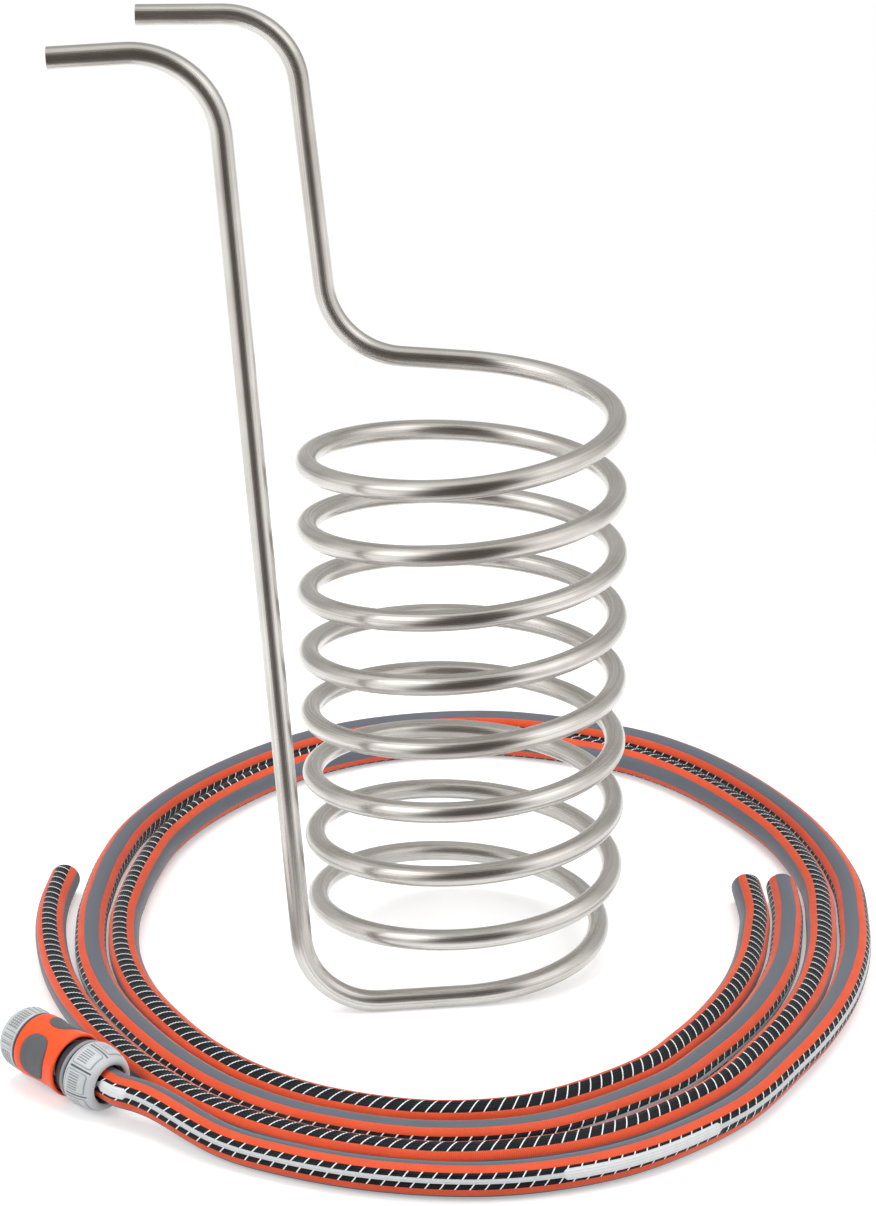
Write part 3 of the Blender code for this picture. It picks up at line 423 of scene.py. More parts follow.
# Streaks that run along a tube. The round is put on a circle, so that they have no seam:
# noise at (cos 2 pi u, sin 2 pi u) x Around, and v x Along.
streaks, tree, given, result = new_group(
    "streaks_along", (("Around", 12.0), ("Along", 3.0)), ("Streaks",))
u, v = tree.uv()
turn = tree.math("MULTIPLY", u, 2 * np.pi)
spot = {key: tree.math("MULTIPLY", tree.math(trig, turn), given["Around"])
        for key, trig in (("X", "COSINE"), ("Y", "SINE"))}
spot["Z"] = tree.math("MULTIPLY", v, given["Along"])
ring = tree.new("CombineXYZ", spot).outputs[0]
noise = tree.new("TexNoise", {"Scale": 1.0, "Detail": 3.0, "Vector": ring})
tree.links.new(noise.outputs["Fac"], result["Streaks"])

# Fine grain of a moulded or rubbed surface, and the slow blotches that handling leaves.
grain, tree, given, result = new_group(
    "surface_grain", (("Scale", 1500.0), ("Blotch Scale", 40.0)), ("Grain", "Blotch"))
place = tree.new("TexCoord").outputs["Object"]
for key, size, detail in (("Grain", "Scale", 2.0), ("Blotch", "Blotch Scale", 4.0)):
    noise = tree.new("TexNoise", {"Detail": detail, "Vector": place, "Scale": given[size]})
    tree.links.new(noise.outputs["Fac"], result[key])


HOSE_ORANGE = (0.69, 0.086, 0.026)
# A darker orange: the stripe's own random blotches, and painted shade in the notches between the fine teeth.
HOSE_ORANGE_BLOTCH_AND_NOTCH_SHADE = (0.52, 0.050, 0.014)
HOSE_GREY = (0.104, 0.115, 0.138)
HOSE_BLACK = (0.004, 0.0055, 0.0075)
HOSE_BLACK_WORN = (0.009, 0.012, 0.016)
HOSE_THREAD = (0.80, 0.82, 0.83)
HOSE_SILVER = (0.54, 0.55, 0.57)
HOSE_PATCH = (0.66, 0.67, 0.68)
HOSE_BORE_COLOUR = (0.02, 0.02, 0.022)
THREAD_STEP = 0.0075
THREAD_WIDTH = 0.0008
THREAD_SLANT = 0.65                # how far a thread runs along for each step round
NOTCH_STEP = 0.0011                # the fine teeth along an orange stripe
NOTCH_SWING_DEG = 0.35             # how far the teeth go to each side of a stripe's edge
STRIPE_SOFT_DEG = 0.25
LINE_HALF_DEG = 8.0
PATCH_HALF_DEG = 19.0
PATCH_END = 0.003
HOSE_ROUGHNESS, BLOTCH_ROUGHNESS = 0.36, 0.16
HOSE_GLOSS, BLACK_GLOSS = 0.32, 0.18
CUT_LAYERS = ((0.0, HOSE_BLACK_WORN), (0.42, HOSE_THREAD), (0.62, HOSE_BORE_COLOUR))


def hose_skin(name, patches):
    """The striped skin. u is the share of the round from a black band's middle, v the length in
    metres. patches are the stretches along v where the silver line widens; None leaves it out."""
    made, tree = new_material(name)
    do = tree.math
    u, v = tree.uv()

    # Degrees from the nearest black middle, with its sign, and without it.
    signed = do("SUBTRACT", do("FRACT", do("MULTIPLY_ADD", u, 2.0, 0.5)), 0.5)
    signed = do("MULTIPLY", signed, 180.0)
    off = do("ABSOLUTE", signed)
    tooth = do("PINGPONG", do("DIVIDE", v, NOTCH_STEP), 0.5)
    toothed = do("MULTIPLY_ADD", tooth, 4 * NOTCH_SWING_DEG, do("SUBTRACT", off, NOTCH_SWING_DEG))
    not_black = tree.step(toothed, BLACK_HALF - STRIPE_SOFT_DEG, BLACK_HALF + STRIPE_SOFT_DEG)
    toothed = do("MULTIPLY_ADD", tooth, -4 * NOTCH_SWING_DEG, do("ADD", off, NOTCH_SWING_DEG))
    is_grey = tree.step(toothed, GREY_FROM - STRIPE_SOFT_DEG, GREY_FROM + STRIPE_SOFT_DEG)

    around = do("MULTIPLY", signed, np.pi / 180 * HOSE_RADIUS * THREAD_SLANT)
    phase = do("FRACT", do("DIVIDE", do("ADD", v, around), THREAD_STEP))
    from_thread = do("MULTIPLY", do("ABSOLUTE", do("SUBTRACT", phase, 0.5)), THREAD_STEP)
    off_thread = tree.step(from_thread, THREAD_WIDTH * 0.35, THREAD_WIDTH * 0.62)
    pillow = do("SINE", do("MULTIPLY", phase, np.pi))

    lines = tree.group(streaks, Around=9.0, Along=14.0)[0]
    touch = tree.group(grain, Scale=2600.0, Blotch_Scale=55.0)
    worn = tree.mix(tree.step(lines, 0.35, 0.7), HOSE_BLACK, HOSE_BLACK_WORN)
    black = tree.mix(off_thread, HOSE_THREAD, worn)
    if patches:
        one_side = do("ABSOLUTE", do("SUBTRACT", do("FRACT", do("ADD", u, 0.5)), 0.5))
        half, wide = LINE_HALF_DEG, 0.0
        for start, end in patches:
            rise = tree.step(v, start, start + PATCH_END)
            inside = do("SUBTRACT", rise, tree.step(v, end - PATCH_END, end))
            half = do("MULTIPLY_ADD", inside, PATCH_HALF_DEG - LINE_HALF_DEG, half)
            wide = do("ADD", inside, wide)
        beyond = do("SUBTRACT", do("MULTIPLY", one_side, 360.0), half)
        silver = do("SUBTRACT", 1.0, tree.step(beyond, -0.4, 0.4))
        black = tree.mix(silver, black, tree.mix(wide, HOSE_SILVER, HOSE_PATCH))
    # The darker orange: random blotches of the stripe's own tone, plus painted shade at the low side of each fine
    # tooth.
    deep = tree.step(touch["Blotch"], 0.35, 0.7)
    painted_notch_shade = do("MULTIPLY", do("SUBTRACT", 0.5, tooth), 0.5)
    deep = do("MULTIPLY_ADD", deep, 0.25, painted_notch_shade)
    skin = tree.mix(not_black, black, tree.mix(deep, HOSE_ORANGE, HOSE_ORANGE_BLOTCH_AND_NOTCH_SHADE))
    grey = tree.mix(touch["Blotch"], *(tuple(c * k for c in HOSE_GREY) for k in (0.9, 1.12)))
    skin = tree.mix(is_grey, skin, grey)
    depth = tree.attribute("depth")
    layers = tree.new("ValToRGB", {0: depth})
    layers.color_ramp.interpolation = "CONSTANT"
    layers.color_ramp.elements.new(0.5)
    for stop, (at, colour) in zip(layers.color_ramp.elements, CUT_LAYERS):
        stop.position = at
        stop.color = (*colour, 1)
    skin = tree.mix(tree.step(depth, 0.001, 0.05), skin, layers.outputs["Color"])

    on_black = do("SUBTRACT", 1.0, not_black)
    height = do("MULTIPLY", pillow, on_black)
    height = do("MULTIPLY_ADD", tooth, do("SUBTRACT", not_black, is_grey), height)
    height = do("MULTIPLY_ADD", touch["Grain"], 0.25, height)
    tree.surface(tree.new("BsdfPrincipled", {
        "Base Color": skin,
        "Roughness": do("MULTIPLY_ADD", touch["Blotch"], BLOTCH_ROUGHNESS, HOSE_ROUGHNESS),
        "Specular IOR Level": do("MULTIPLY_ADD", on_black, BLACK_GLOSS - HOSE_GLOSS, HOSE_GLOSS),
        "Normal": tree.bump(height, 0.0003, 0.7)}).outputs[0])
    return made


in_connector = np.array([CONNECTOR_NOSE + along * CONNECTOR_AXIS
                         for along in np.arange(HOSE_INSIDE, HOSE_STRAIGHT + 0.001,
                                                HOSE_STRAIGHT_STEP)])
supply_line = round_the_ring(SUPPLY_ROUTE, in_connector)
drain_line = round_the_ring(DRAIN_ROUTE)
HOSE_RIM = np.array((0.0088, 0.0083, 0.0078, 0.0070, HOSE_BORE_RADIUS))


def length_at(line, angle_deg):
    """The length along a line at which it comes nearest to an angle round the coil's axis."""
    lap = np.degrees(np.arctan2(line[:, 1] - coil_axis[1], line[:, 0] - coil_axis[0]))
    return lengths_along(line)[np.abs(lap - angle_deg).argmin()]


# The silver line widens beside the nut, given in metres, and in front, given in degrees.
NUT_PATCH = (0.019, 0.037)
FRONT_PATCH_DEG = (-81.0, -61.5)
SMOOTH_BELOW_DEG, MOULDED_SMOOTH_BELOW_DEG = 50, 38
first_lap = supply_line[:len(supply_line) // 3]
front_patch = [length_at(first_lap, degrees) for degrees in FRONT_PATCH_DEG]
for name, line, turn, twist, patches in (
        ("supply_hose", supply_line, SUPPLY_TURN_DEG, SUPPLY_TWIST_DEG, (NUT_PATCH, front_patch)),
        ("drain_hose", drain_line, DRAIN_TURN_DEG, DRAIN_TWIST_DEG, None)):
    radius, angle = hose_shape(line, turn, twist)
    points, uv, depth = pipe(line, angle, radius, HOSE_RIM)
    hose = closed_grid("striped_" + name, points, uv, {"depth": depth})
    hose.visible_glossy = False                       # the steel mirrors only the plain room
    hose.data.set_sharp_from_angle(angle=np.radians(SMOOTH_BELOW_DEG))
    hose.data.materials.append(hose_skin(name + "_skin", patches))
    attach(hose, "root")
    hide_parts(name)

# ---- The chiller ----
# One length of 12 x 1 mm stainless tube, wound on a mandrel, with its two ends bent up and over
# into spouts. Drawn satin steel, with streaks along the tube and its ends cut square.
TUBE_RADIUS = 0.006
TUBE_RIM = np.array((0.00585, 0.00515, 0.005))     # rounded edges, then the bore
TUBE_SIDES = 40
TUBE_STEP = 0.0042
COIL_TURNS = 8.5
POINTS_PER_TURN = 140
COIL_RADIUS_BOTTOM, COIL_RADIUS_TOP, COIL_BARREL = 0.086, 0.0885, 0.002
COIL_PITCH_BOTTOM, COIL_PITCH_TOP = 0.041, 0.0369
COIL_LEAN_DEG = 0.5
FOOT_TUCK, FOOT_TUCK_TURNS = 0.010, 0.37
BACK_SAG, BACK_SAG_TURN, BACK_SAG_SPREAD, BACK_SAG_START = 0.007, 5.6, 2.4, 0.1
END_LIFT, END_LIFT_FROM, END_LIFT_OVER = 0.0046, 7.95, 0.3
FOOT_HEIGHT = 0.0055
FRONT_CORNER = (-0.0907, -0.089)
REAR_CORNER_X = -0.0786
# Each end: the riser's lean, where riser and spout meet, the spout's end and droop, both bends.
FRONT_END = (4.5, 0.5628, -0.2223, 3.5, 0.046, 0.048)
REAR_END = (6.1, 0.5456, -0.1888, 0.5, 0.049, 0.0435)


def coil_line():
    """Turn t of the coil: the radius widens, bulges by a sine and is drawn in by a bell curve at
    the foot. The height's rate falls evenly from one pitch to the other. The backs of the upper
    turns sag by (1 - cos) under a bell curve, and the last half turn is lifted."""
    turn = np.linspace(0, COIL_TURNS, int(COIL_TURNS * POINTS_PER_TURN))
    share = turn / COIL_TURNS
    tuck = FOOT_TUCK * np.exp(-(turn / FOOT_TUCK_TURNS) ** 2)
    radius = (COIL_RADIUS_BOTTOM + (COIL_RADIUS_TOP - COIL_RADIUS_BOTTOM) * share
              + COIL_BARREL * np.sin(np.pi * share) - tuck)
    angle = 2 * np.pi * turn - np.pi / 2
    rise = (COIL_PITCH_BOTTOM * turn
            + (COIL_PITCH_TOP - COIL_PITCH_BOTTOM) * turn ** 2 / (2 * COIL_TURNS))
    lean = -np.tan(np.radians(COIL_LEAN_DEG)) * rise
    sag = BACK_SAG * np.exp(-((turn - BACK_SAG_TURN) / BACK_SAG_SPREAD) ** 2)
    sag *= (1 - np.cos(2 * np.pi * (turn - BACK_SAG_START))) / 2
    lift = np.clip((turn - END_LIFT_FROM) / END_LIFT_OVER, 0, 1)
    rise = rise + END_LIFT * lift ** 2 * (3 - 2 * lift) - sag
    return np.column_stack([lean + radius * np.cos(angle), radius * np.sin(angle),
                            FOOT_HEIGHT + rise])


def arc(before, corner, after, radius, rings=28):
    """The round bend in place of a corner: two unit legs from its centre, mixed by sines."""
    back = (before - corner) / np.linalg.norm(before - corner)
    ahead = (after - corner) / np.linalg.norm(after - corner)
    half = np.arccos(back @ ahead) / 2
    middle = (back + ahead) / np.linalg.norm(back + ahead)
    centre = corner + middle * radius / np.sin(half)
    first = corner + back * radius / np.tan(half) - centre
    last = corner + ahead * radius / np.tan(half) - centre
    whole, share = np.pi - 2 * half, np.linspace(0, 1, rings)[:, None]
    legs = np.sin((1 - share) * whole) * first + np.sin(share * whole) * last
    return centre + legs / np.sin(whole)


def end_line(start, corner, lean_deg, top, spout_end, droop_deg, foot_bend, top_bend):
    """From the coil to the end of a spout: two bends joined by straight runs. Riser and spout
    stand in the plane y = the corner's y."""
    corner = np.array(corner)
    run_out = np.tan(np.radians(lean_deg)) * (top - corner[2])
    bend_top = np.array((corner[0] - run_out, corner[1], top))
    end = np.array((spout_end, corner[1],
                    top - np.tan(np.radians(droop_deg)) * (bend_top[0] - spout_end)))
    return np.vstack([arc(start, corner, bend_top, foot_bend),
                      arc(corner, bend_top, end, top_bend), end])


coil = coil_line()
rear_slope = COIL_PITCH_TOP / (2 * np.pi * COIL_RADIUS_TOP)
rear_corner = (REAR_CORNER_X, coil[-1, 1], coil[-1, 2] + rear_slope * (coil[-1, 0] - REAR_CORNER_X))
tube_line = np.vstack([end_line(coil[0], (*FRONT_CORNER, FOOT_HEIGHT), *FRONT_END)[::-1], coil,
                       end_line(coil[-1], rear_corner, *REAR_END)])
tube_line = evenly(tube_line, TUBE_STEP) + coil_axis

angle = np.tile(2 * np.pi * np.arange(TUBE_SIDES) / TUBE_SIDES, (len(tube_line), 1))
radius = np.full(angle.shape, TUBE_RADIUS)
points, uv, depth = pipe(tube_line, angle, radius, TUBE_RIM, 2)
points[..., 2] = np.maximum(points[..., 2], 0.0)        # its foot is pressed flat on the floor
tube = closed_grid("steel_tube", points, uv, {"depth": depth})
tube.data.set_sharp_from_angle(angle=np.radians(SMOOTH_BELOW_DEG))

STEEL_LIGHT = (0.66, 0.645, 0.62)
STEEL_WARM = (0.48, 0.455, 0.425)
STEEL_BORE_SHADE = (0.16, 0.155, 0.15)
STEEL_ROUGHNESS, STREAK_ROUGHNESS = 0.14, 0.14
STEEL_ANISOTROPY = 0.6

steel, tree = new_material("satin_steel")
fine = tree.group(streaks, Around=34.0, Along=2.2)[0]
broad = tree.group(streaks, Around=7.0, Along=3.0)[0]
touch = tree.group(grain, Scale=900.0, Blotch_Scale=26.0)
share = tree.math("MULTIPLY_ADD", broad, 0.6, tree.math("MULTIPLY", touch["Blotch"], 0.4))
tone = tree.mix(tree.step(share, 0.36, 0.64), STEEL_LIGHT, STEEL_WARM)
# Painted shade: the steel turns dark from halfway over the cut rim into the bore.
tone = tree.mix(tree.step(tree.attribute("depth"), 0.5, 1.0), tone, STEEL_BORE_SHADE)
rough = tree.math("MULTIPLY_ADD", fine, STREAK_ROUGHNESS, STEEL_ROUGHNESS)
rough = tree.math("MULTIPLY_ADD", broad, STREAK_ROUGHNESS, rough)
height = tree.math("MULTIPLY_ADD", broad, 1.0, tree.math("MULTIPLY", fine, 0.15))
drawn = tree.new("Tangent", direction_type="UV_MAP", uv_map="UVMap").outputs[0]
tree.surface(tree.new("BsdfPrincipled", {
    "Base Color": tone, "Metallic": 1.0, "Roughness": rough, "Tangent": drawn,
    "Anisotropic": STEEL_ANISOTROPY, "Normal": tree.bump(height, 0.00014, 0.7)}).outputs[0])
tube.data.materials.append(steel)
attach(tube, "chiller")
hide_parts("chiller_tube")

# ---- Moulded plastics of the connector ----
# The connector's pieces are injection moulded: a fine grain, and blotches where hands rub.


def moulded(name, colour, roughness, grain_height, second=None, key=None, gloss=0.5):
    """Grained plastic. Where the named attribute is 1 it takes the second colour."""
    made, tree = new_material(name)
    touch = tree.group(grain, Scale=2200.0, Blotch_Scale=70.0)
    tone = tree.mix(tree.step(touch["Blotch"], 0.3, 0.75), tuple(c * 0.93 for c in colour),
                    tuple(min(c * 1.05, 1) for c in colour))
    if key:
        tone = tree.mix(tree.attribute(key), tone, second)
    rough = tree.math("MULTIPLY_ADD", touch["Blotch"], 0.14, roughness - 0.07)
    tree.surface(tree.new("BsdfPrincipled", {
        "Base Color": tone, "Roughness": rough, "Specular IOR Level": gloss,
        "Normal": tree.bump(touch["Grain"], grain_height, 0.6)}).outputs[0])
    return made


def about_axis(radius, along, angle):
    """Points of the connector: nose + along axis + radius (cos angle up + sin angle side)."""
    return (CONNECTOR_NOSE + along[..., None] * CONNECTOR_AXIS
            + (radius * np.cos(angle))[..., None] * CONNECTOR_UP
            + (radius * np.sin(angle))[..., None] * CONNECTOR_SIDE)


def rounded(profile, fillet, step):
    """A closed profile of (radius, along) corners in millimetres, each corner rounded by a
    quadratic curve that starts a fillet before it, then spaced evenly and made metres."""
    corner = np.array(profile, float)
    before, after = np.roll(corner, 1, axis=0), np.roll(corner, -1, axis=0)
    to_before, to_after = before - corner, after - corner
    leg_before = np.linalg.norm(to_before, axis=1)[:, None]
    leg_after = np.linalg.norm(to_after, axis=1)[:, None]
    first = corner + to_before / leg_before * np.minimum(fillet, 0.45 * leg_before)
    last = corner + to_after / leg_after * np.minimum(fillet, 0.45 * leg_after)
    t = np.linspace(0, 1, 7)[None, :, None]
    curve = ((1 - t) ** 2 * first[:, None] + 2 * t * (1 - t) * corner[:, None]
             + t ** 2 * last[:, None])
    loop = curve.reshape(-1, 2)
    loop = np.vstack([loop, loop[:1]])
    run = lengths_along(loop)
    at = np.linspace(0, run[-1], int(round(run[-1] / step)), endpoint=False)
    return np.column_stack([np.interp(at, run, loop[:, k]) for k in (0, 1)]) / 1000


def turned_grid(loop, columns):
    """Radius, length along the axis and angle of a profile turned about the axis."""
    angle = np.tile(2 * np.pi * np.arange(columns) / columns, (len(loop), 1))
    radius, along = (np.tile(loop[:, k:k + 1], (1, columns)) for k in (0, 1))
    return radius, along, angle


def turned(name, loop, columns, relief=None, extra=None):
    """A profile turned about the connector's axis. relief(radius, along, angle) adds to the
    radius, and extra holds such functions for attributes."""
    radius, along, angle = turned_grid(loop, columns)
    if relief is not None:
        radius = radius + relief(radius, along, angle)
    uv = uv_grid(columns, lengths_along(np.vstack([loop, loop[:1]])))
    values = {key: value(radius, along, angle) for key, value in (extra or {}).items()}
    return closed_grid(name, about_axis(radius, along, angle), uv, values)


def finished(piece, material, body, node):
    """A piece of the connector gets its material, its body and the node that it replaces."""
    piece.data.set_sharp_from_angle(angle=np.radians(MOULDED_SMOOTH_BELOW_DEG))
    piece.data.materials.append(material)
    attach(piece, body)
    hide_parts(node)


def plateau(value, half, edge):
    """1 where |value| is less than half, 0 past half + edge, with a smooth step between."""
    share = np.clip((half + edge - np.abs(value)) / edge, 0, 1)
    return share * share * (3 - 2 * share)


def wrapped(angle, count, first_deg=0.0):
    """Degrees from the middle of the nearest of so many equal fields round the axis."""
    field = 360.0 / count
    return (np.degrees(angle) - first_deg + field / 2) % field - field / 2


PALE_GREY = (0.50, 0.525, 0.54)
SLEEVE_ORANGE = (0.86, 0.086, 0.020)
GRIP_GREY = (0.092, 0.096, 0.105)
CORE_BLACK = (0.016, 0.017, 0.024)
FLANGE_GREY = (0.26, 0.25, 0.27)
GROOVE_SHADE_AND_SEAM_GREY = (0.085, 0.090, 0.095)
# Where the groove attribute is 1 the pale plastic takes a dark grey: painted shade in the sunk fields, grooves and
# slots, and the ring's dark seam.
pale_plastic = moulded("pale_grey_plastic", PALE_GREY, 0.42, 0.00004, GROOVE_SHADE_AND_SEAM_GREY, "groove")
orange_plastic = moulded("orange_plastic", SLEEVE_ORANGE, 0.38, 0.00002, gloss=0.28)
grip_rubber = moulded("grip_rubber", GRIP_GREY, 0.62, 0.00006)
black_plastic = moulded("black_plastic", CORE_BLACK, 0.36, 0.00003, FLANGE_GREY, "flange")

# ---- The connector's core ----
# A black moulding: the socket for a tap adaptor at the nose, the guide of the sleeve, a collar
# round the spring's end, a grey flange, the nut's spigot, and a barbed tail in the hose.
FLANGE_FROM, FLANGE_END = 0.0162, 0.0553           # grey outside the radius and up to the length
core_loop = rounded([
    (5.7, 72.0), (6.2, 68.4), (5.7, 67.5), (6.2, 63.9), (5.7, 63.0), (6.2, 59.4), (5.7, 58.5),
    (5.7, 55.4), (10.67, 55.4), (10.67, 63.0), (12.67, 63.0), (12.67, 56.0), (16.7, 56.0),
    (16.7, 55.3), (17.4, 55.0), (17.4, 53.2), (16.0, 53.2), (16.0, 48.1), (14.1, 48.1),
    (14.1, 52.0), (11.5, 52.0), (11.5, 22.2), (10.6, 21.6), (10.6, 7.4), (8.6, 7.4),
    (8.6, 24.4), (4.2, 24.4), (4.2, 72.0)], 0.35, 0.4)
core = turned("connector_core", core_loop, 120, extra={
    "flange": lambda radius, along, angle: (radius > FLANGE_FROM) & (along < FLANGE_END)})
finished(core, black_plastic, "root", "connector_body")

# ---- Front ring ----
# The pale ring at the nose, pressed on to the sleeve. Four fields of small studs, with three coarse
# ribs between each two, give the fingers a hold. Its inner cone keeps the claws in.
RING_FIELDS = 4
RING_FIRST_DEG = 25.0
STUD_STEP_DEG = 5.6
STUD_HALF_DEG = 1.5
STUD_STEP = 0.0017
STUD_HALF = 0.00045
STUD_HEIGHT = 0.00030
RING_OUTSIDE = 0.0170
RING_MIDDLE = 0.0078
RING_HALF = 0.0040
FIELD_HALF = 0.0034
FIELD_HALF_DEG = 22.5
COARSE_RIBS_DEG = (-12.5, 0.0, 12.5)
COARSE_HALF_DEG = 3.1
COARSE_HEIGHT = 0.00045
EDGE_AT_DEG = 4.2
EDGE_DEPTH = 0.00012
SEAM_FROM = 0.0133                 # the joint with the sleeve


def ring_pattern(radius, along, angle):
    """The shares of a field, a stud, a coarse rib's top and a rib's edge at each point."""
    outside = (radius > RING_OUTSIDE) * plateau(along - RING_MIDDLE, RING_HALF, 0.0006)
    place = wrapped(angle, RING_FIELDS, RING_FIRST_DEG)
    field = (plateau(place, FIELD_HALF_DEG, 0.8)
             * plateau(along - RING_MIDDLE, FIELD_HALF, 0.0003))
    row = (along + STUD_STEP / 2) % STUD_STEP - STUD_STEP / 2
    stud = (plateau(wrapped(angle, 360 / STUD_STEP_DEG, RING_FIRST_DEG), STUD_HALF_DEG, 0.8)
            * plateau(row, STUD_HALF, 0.00028))
    beside = wrapped(angle, RING_FIELDS, RING_FIRST_DEG + 180.0 / RING_FIELDS)
    coarse = sum(plateau(beside - middle, COARSE_HALF_DEG, 0.9) for middle in COARSE_RIBS_DEG)
    edge = sum(plateau(np.abs(beside - middle) - EDGE_AT_DEG, 0.5, 0.6)
               for middle in COARSE_RIBS_DEG)
    return outside * field, outside * field * stud, outside * coarse, outside * edge


def ring_relief(radius, along, angle):
    """The studs rise from sunk fields, and the coarse ribs stand between narrow grooves."""
    field, stud, coarse, edge = ring_pattern(radius, along, angle)
    return STUD_HEIGHT * (stud - field) + COARSE_HEIGHT * coarse - EDGE_DEPTH * edge


def ring_groove_shade_and_seam(radius, along, angle):
    """How dark the plastic is painted: painted shade in the sunk fields and in the grooves beside the ribs, and a
    dark seam where the ring meets the sleeve.
    """
    field, stud, coarse, edge = ring_pattern(radius, along, angle)
    seam = along > SEAM_FROM
    return np.clip(0.70 * (field - stud) + 0.60 * edge + 1.0 * seam, 0, 1)


ring_loop = rounded([
    (17.3, 14.3), (17.6, 13.4), (17.4, 4.0), (16.1, 0.9), (14.4, 0.0), (10.2, 0.0), (9.4, 0.8),
    (9.4, 2.5), (15.37, 2.9), (11.46, 14.3)], 0.7, 0.22)
ring = turned("pale_front_ring", ring_loop, 540, ring_relief, {"groove": ring_groove_shade_and_seam})
finished(ring, pale_plastic, "sleeve", "front_ring")

# ---- Release sleeve ----
# Orange, waisted, and flared towards the hose so that it can be pulled back. Three oval pockets
# hold the soft grips.
GRIP_MIDDLE = 0.0295
GRIP_HALF_LENGTH = 0.0092
GRIP_HALF_WIDTH = 0.0140
GRIP_FULLNESS = 2.5                # 2 is an ellipse, more is fuller
GRIP_DIRECTIONS = [78.0, 198.0, 318.0]
WAIST_RADIUS = 0.0175
SLEEVE_OUTSIDE = 0.0172
POCKET_DEPTH = 0.00045
POCKET_EDGE = 0.06


def oval(along, angle, middle_deg):
    """Distance from an oval's middle, 1 on its edge, seen along the radius."""
    turn = (np.degrees(angle) - middle_deg + 180) % 360 - 180
    across_it = np.abs(np.radians(turn)) * WAIST_RADIUS / GRIP_HALF_WIDTH
    along_it = np.abs(along - GRIP_MIDDLE) / GRIP_HALF_LENGTH
    return (along_it ** GRIP_FULLNESS + across_it ** GRIP_FULLNESS) ** (1 / GRIP_FULLNESS)


def sleeve_relief(radius, along, angle):
    """The pockets, sunk with a soft edge, on the outer side only."""
    outside = radius > SLEEVE_OUTSIDE
    sunk = sum(np.clip((1 + POCKET_EDGE - oval(along, angle, middle)) / POCKET_EDGE, 0, 1)
               for middle in GRIP_DIRECTIONS)
    return -POCKET_DEPTH * outside * sunk


sleeve_loop = rounded([
    (18.0, 47.8), (18.5, 46.6), (18.25, 44.3), (17.85, 41.4), (17.6, 38.0), (17.5, 32.0),
    (17.6, 26.0), (18.0, 20.5), (18.2, 17.2), (17.8, 14.8), (12.1, 14.8), (12.1, 26.2),
    (14.1, 26.2), (14.1, 43.5), (16.6, 43.5), (16.6, 47.8)], 0.9, 0.4)
sleeve = turned("orange_release_sleeve", sleeve_loop, 300, sleeve_relief)
finished(sleeve, orange_plastic, "sleeve", "release_sleeve")

# ---- Soft grips ----
# Three oval pads of dark soft plastic, moulded into the sleeve's pockets and a little proud of it,
# with a shallow dished middle.
GRIP_FLOOR = 0.0163
GRIP_PROUD = 0.00035
DISH_DEPTH = 0.00030
RIM_DROP = 0.00045
GRIP_ROWS = 22
GRIP_COLUMNS = 120


def sleeve_radius(along):
    """The sleeve's outer radius, read off its profile."""
    outer = sleeve_loop[sleeve_loop[:, 0] > SLEEVE_OUTSIDE]
    order = np.argsort(outer[:, 1])
    return np.interp(along, outer[order, 1], outer[order, 0])


def grip(name, middle_deg):
    """Rings of an oval, from the middle of the outer sheet over the rounded rim to the middle of
    the inner sheet. Both middles are points, where the doubles are merged."""
    share = np.sin(np.linspace(0, np.pi / 2, GRIP_ROWS))
    size = np.r_[share, share[::-1]][:, None]
    outer = np.r_[np.ones(GRIP_ROWS), np.zeros(GRIP_ROWS)][:, None]
    turn = np.linspace(0, 2 * np.pi, GRIP_COLUMNS, endpoint=False)[None, :]
    across_it, along_it = (np.sign(w) * np.abs(w) ** (2 / GRIP_FULLNESS)
                           for w in (np.sin(turn), np.cos(turn)))
    along = GRIP_MIDDLE + GRIP_HALF_LENGTH * size * along_it
    wrap = GRIP_HALF_WIDTH * size * across_it / WAIST_RADIUS + np.radians(middle_deg)
    dish = (GRIP_PROUD - DISH_DEPTH * plateau(size, 0.45, 0.35)
            - RIM_DROP * np.clip((size - 0.93) / 0.07, 0, 1))
    radius = np.where(outer > 0, sleeve_radius(along) + dish, GRIP_FLOOR)
    uv = uv_grid(GRIP_COLUMNS, np.arange(2 * GRIP_ROWS + 1) / (2 * GRIP_ROWS))
    return without_doubles(closed_grid(name, about_axis(radius, along, wrap), uv))


def without_doubles(piece):
    """Points that lie on each other become one, so that a pole is closed, and the link between
    the last row and the first goes away."""
    shape = bmesh.new()
    shape.from_mesh(piece.data)
    bmesh.ops.remove_doubles(shape, verts=shape.verts, dist=1e-6)
    poles = [face for face in shape.faces if face.calc_area() < 1e-13]
    bmesh.ops.delete(shape, geom=poles, context="FACES_ONLY")
    bmesh.ops.recalc_face_normals(shape, faces=shape.faces)
    shape.to_mesh(piece.data)
    shape.free()
    return piece


for number, direction in enumerate(GRIP_DIRECTIONS, 1):
    pad = grip("grip_pad_%d" % number, direction)
    finished(pad, grip_rubber, "sleeve", "soft_grip_%d" % number)

# ---- Clamp nut ----
# A pale dome that screws on to the spigot and squeezes the collet on to the hose. Seven fields with
# a slot between each two, and in each a framed panel of fine ribs, give the hand a hold.
NUT_FIELDS = 7
NUT_FIELD_DEG = 360.0 / NUT_FIELDS
NUT_FIRST_DEG = 26.3
NUT_RIB_STEP_DEG = 4.9
NUT_RIB_HALF_DEG = 1.2
NUT_OUTSIDE = 0.0140
NUT_RADIUS = 0.0180
SLOT_HALF_DEG = 1.5
SLOT_MIDDLE, SLOT_HALF = 0.0663, 0.0067
SLOT_DEPTH = 0.0006
FRAME_HALF_DEG = 19.5
FRAME_LOW, FRAME_HIGH = 0.0588, 0.0722
FRAME_CORNER = 0.0016
FRAME_DEPTH = 0.00012
RAISED_HEIGHT = 0.00028
PANEL_HALF_DEG = 14.7
PANEL_MIDDLE, PANEL_HALF = 0.0642, 0.0032
PANEL_DEPTH = 0.00030


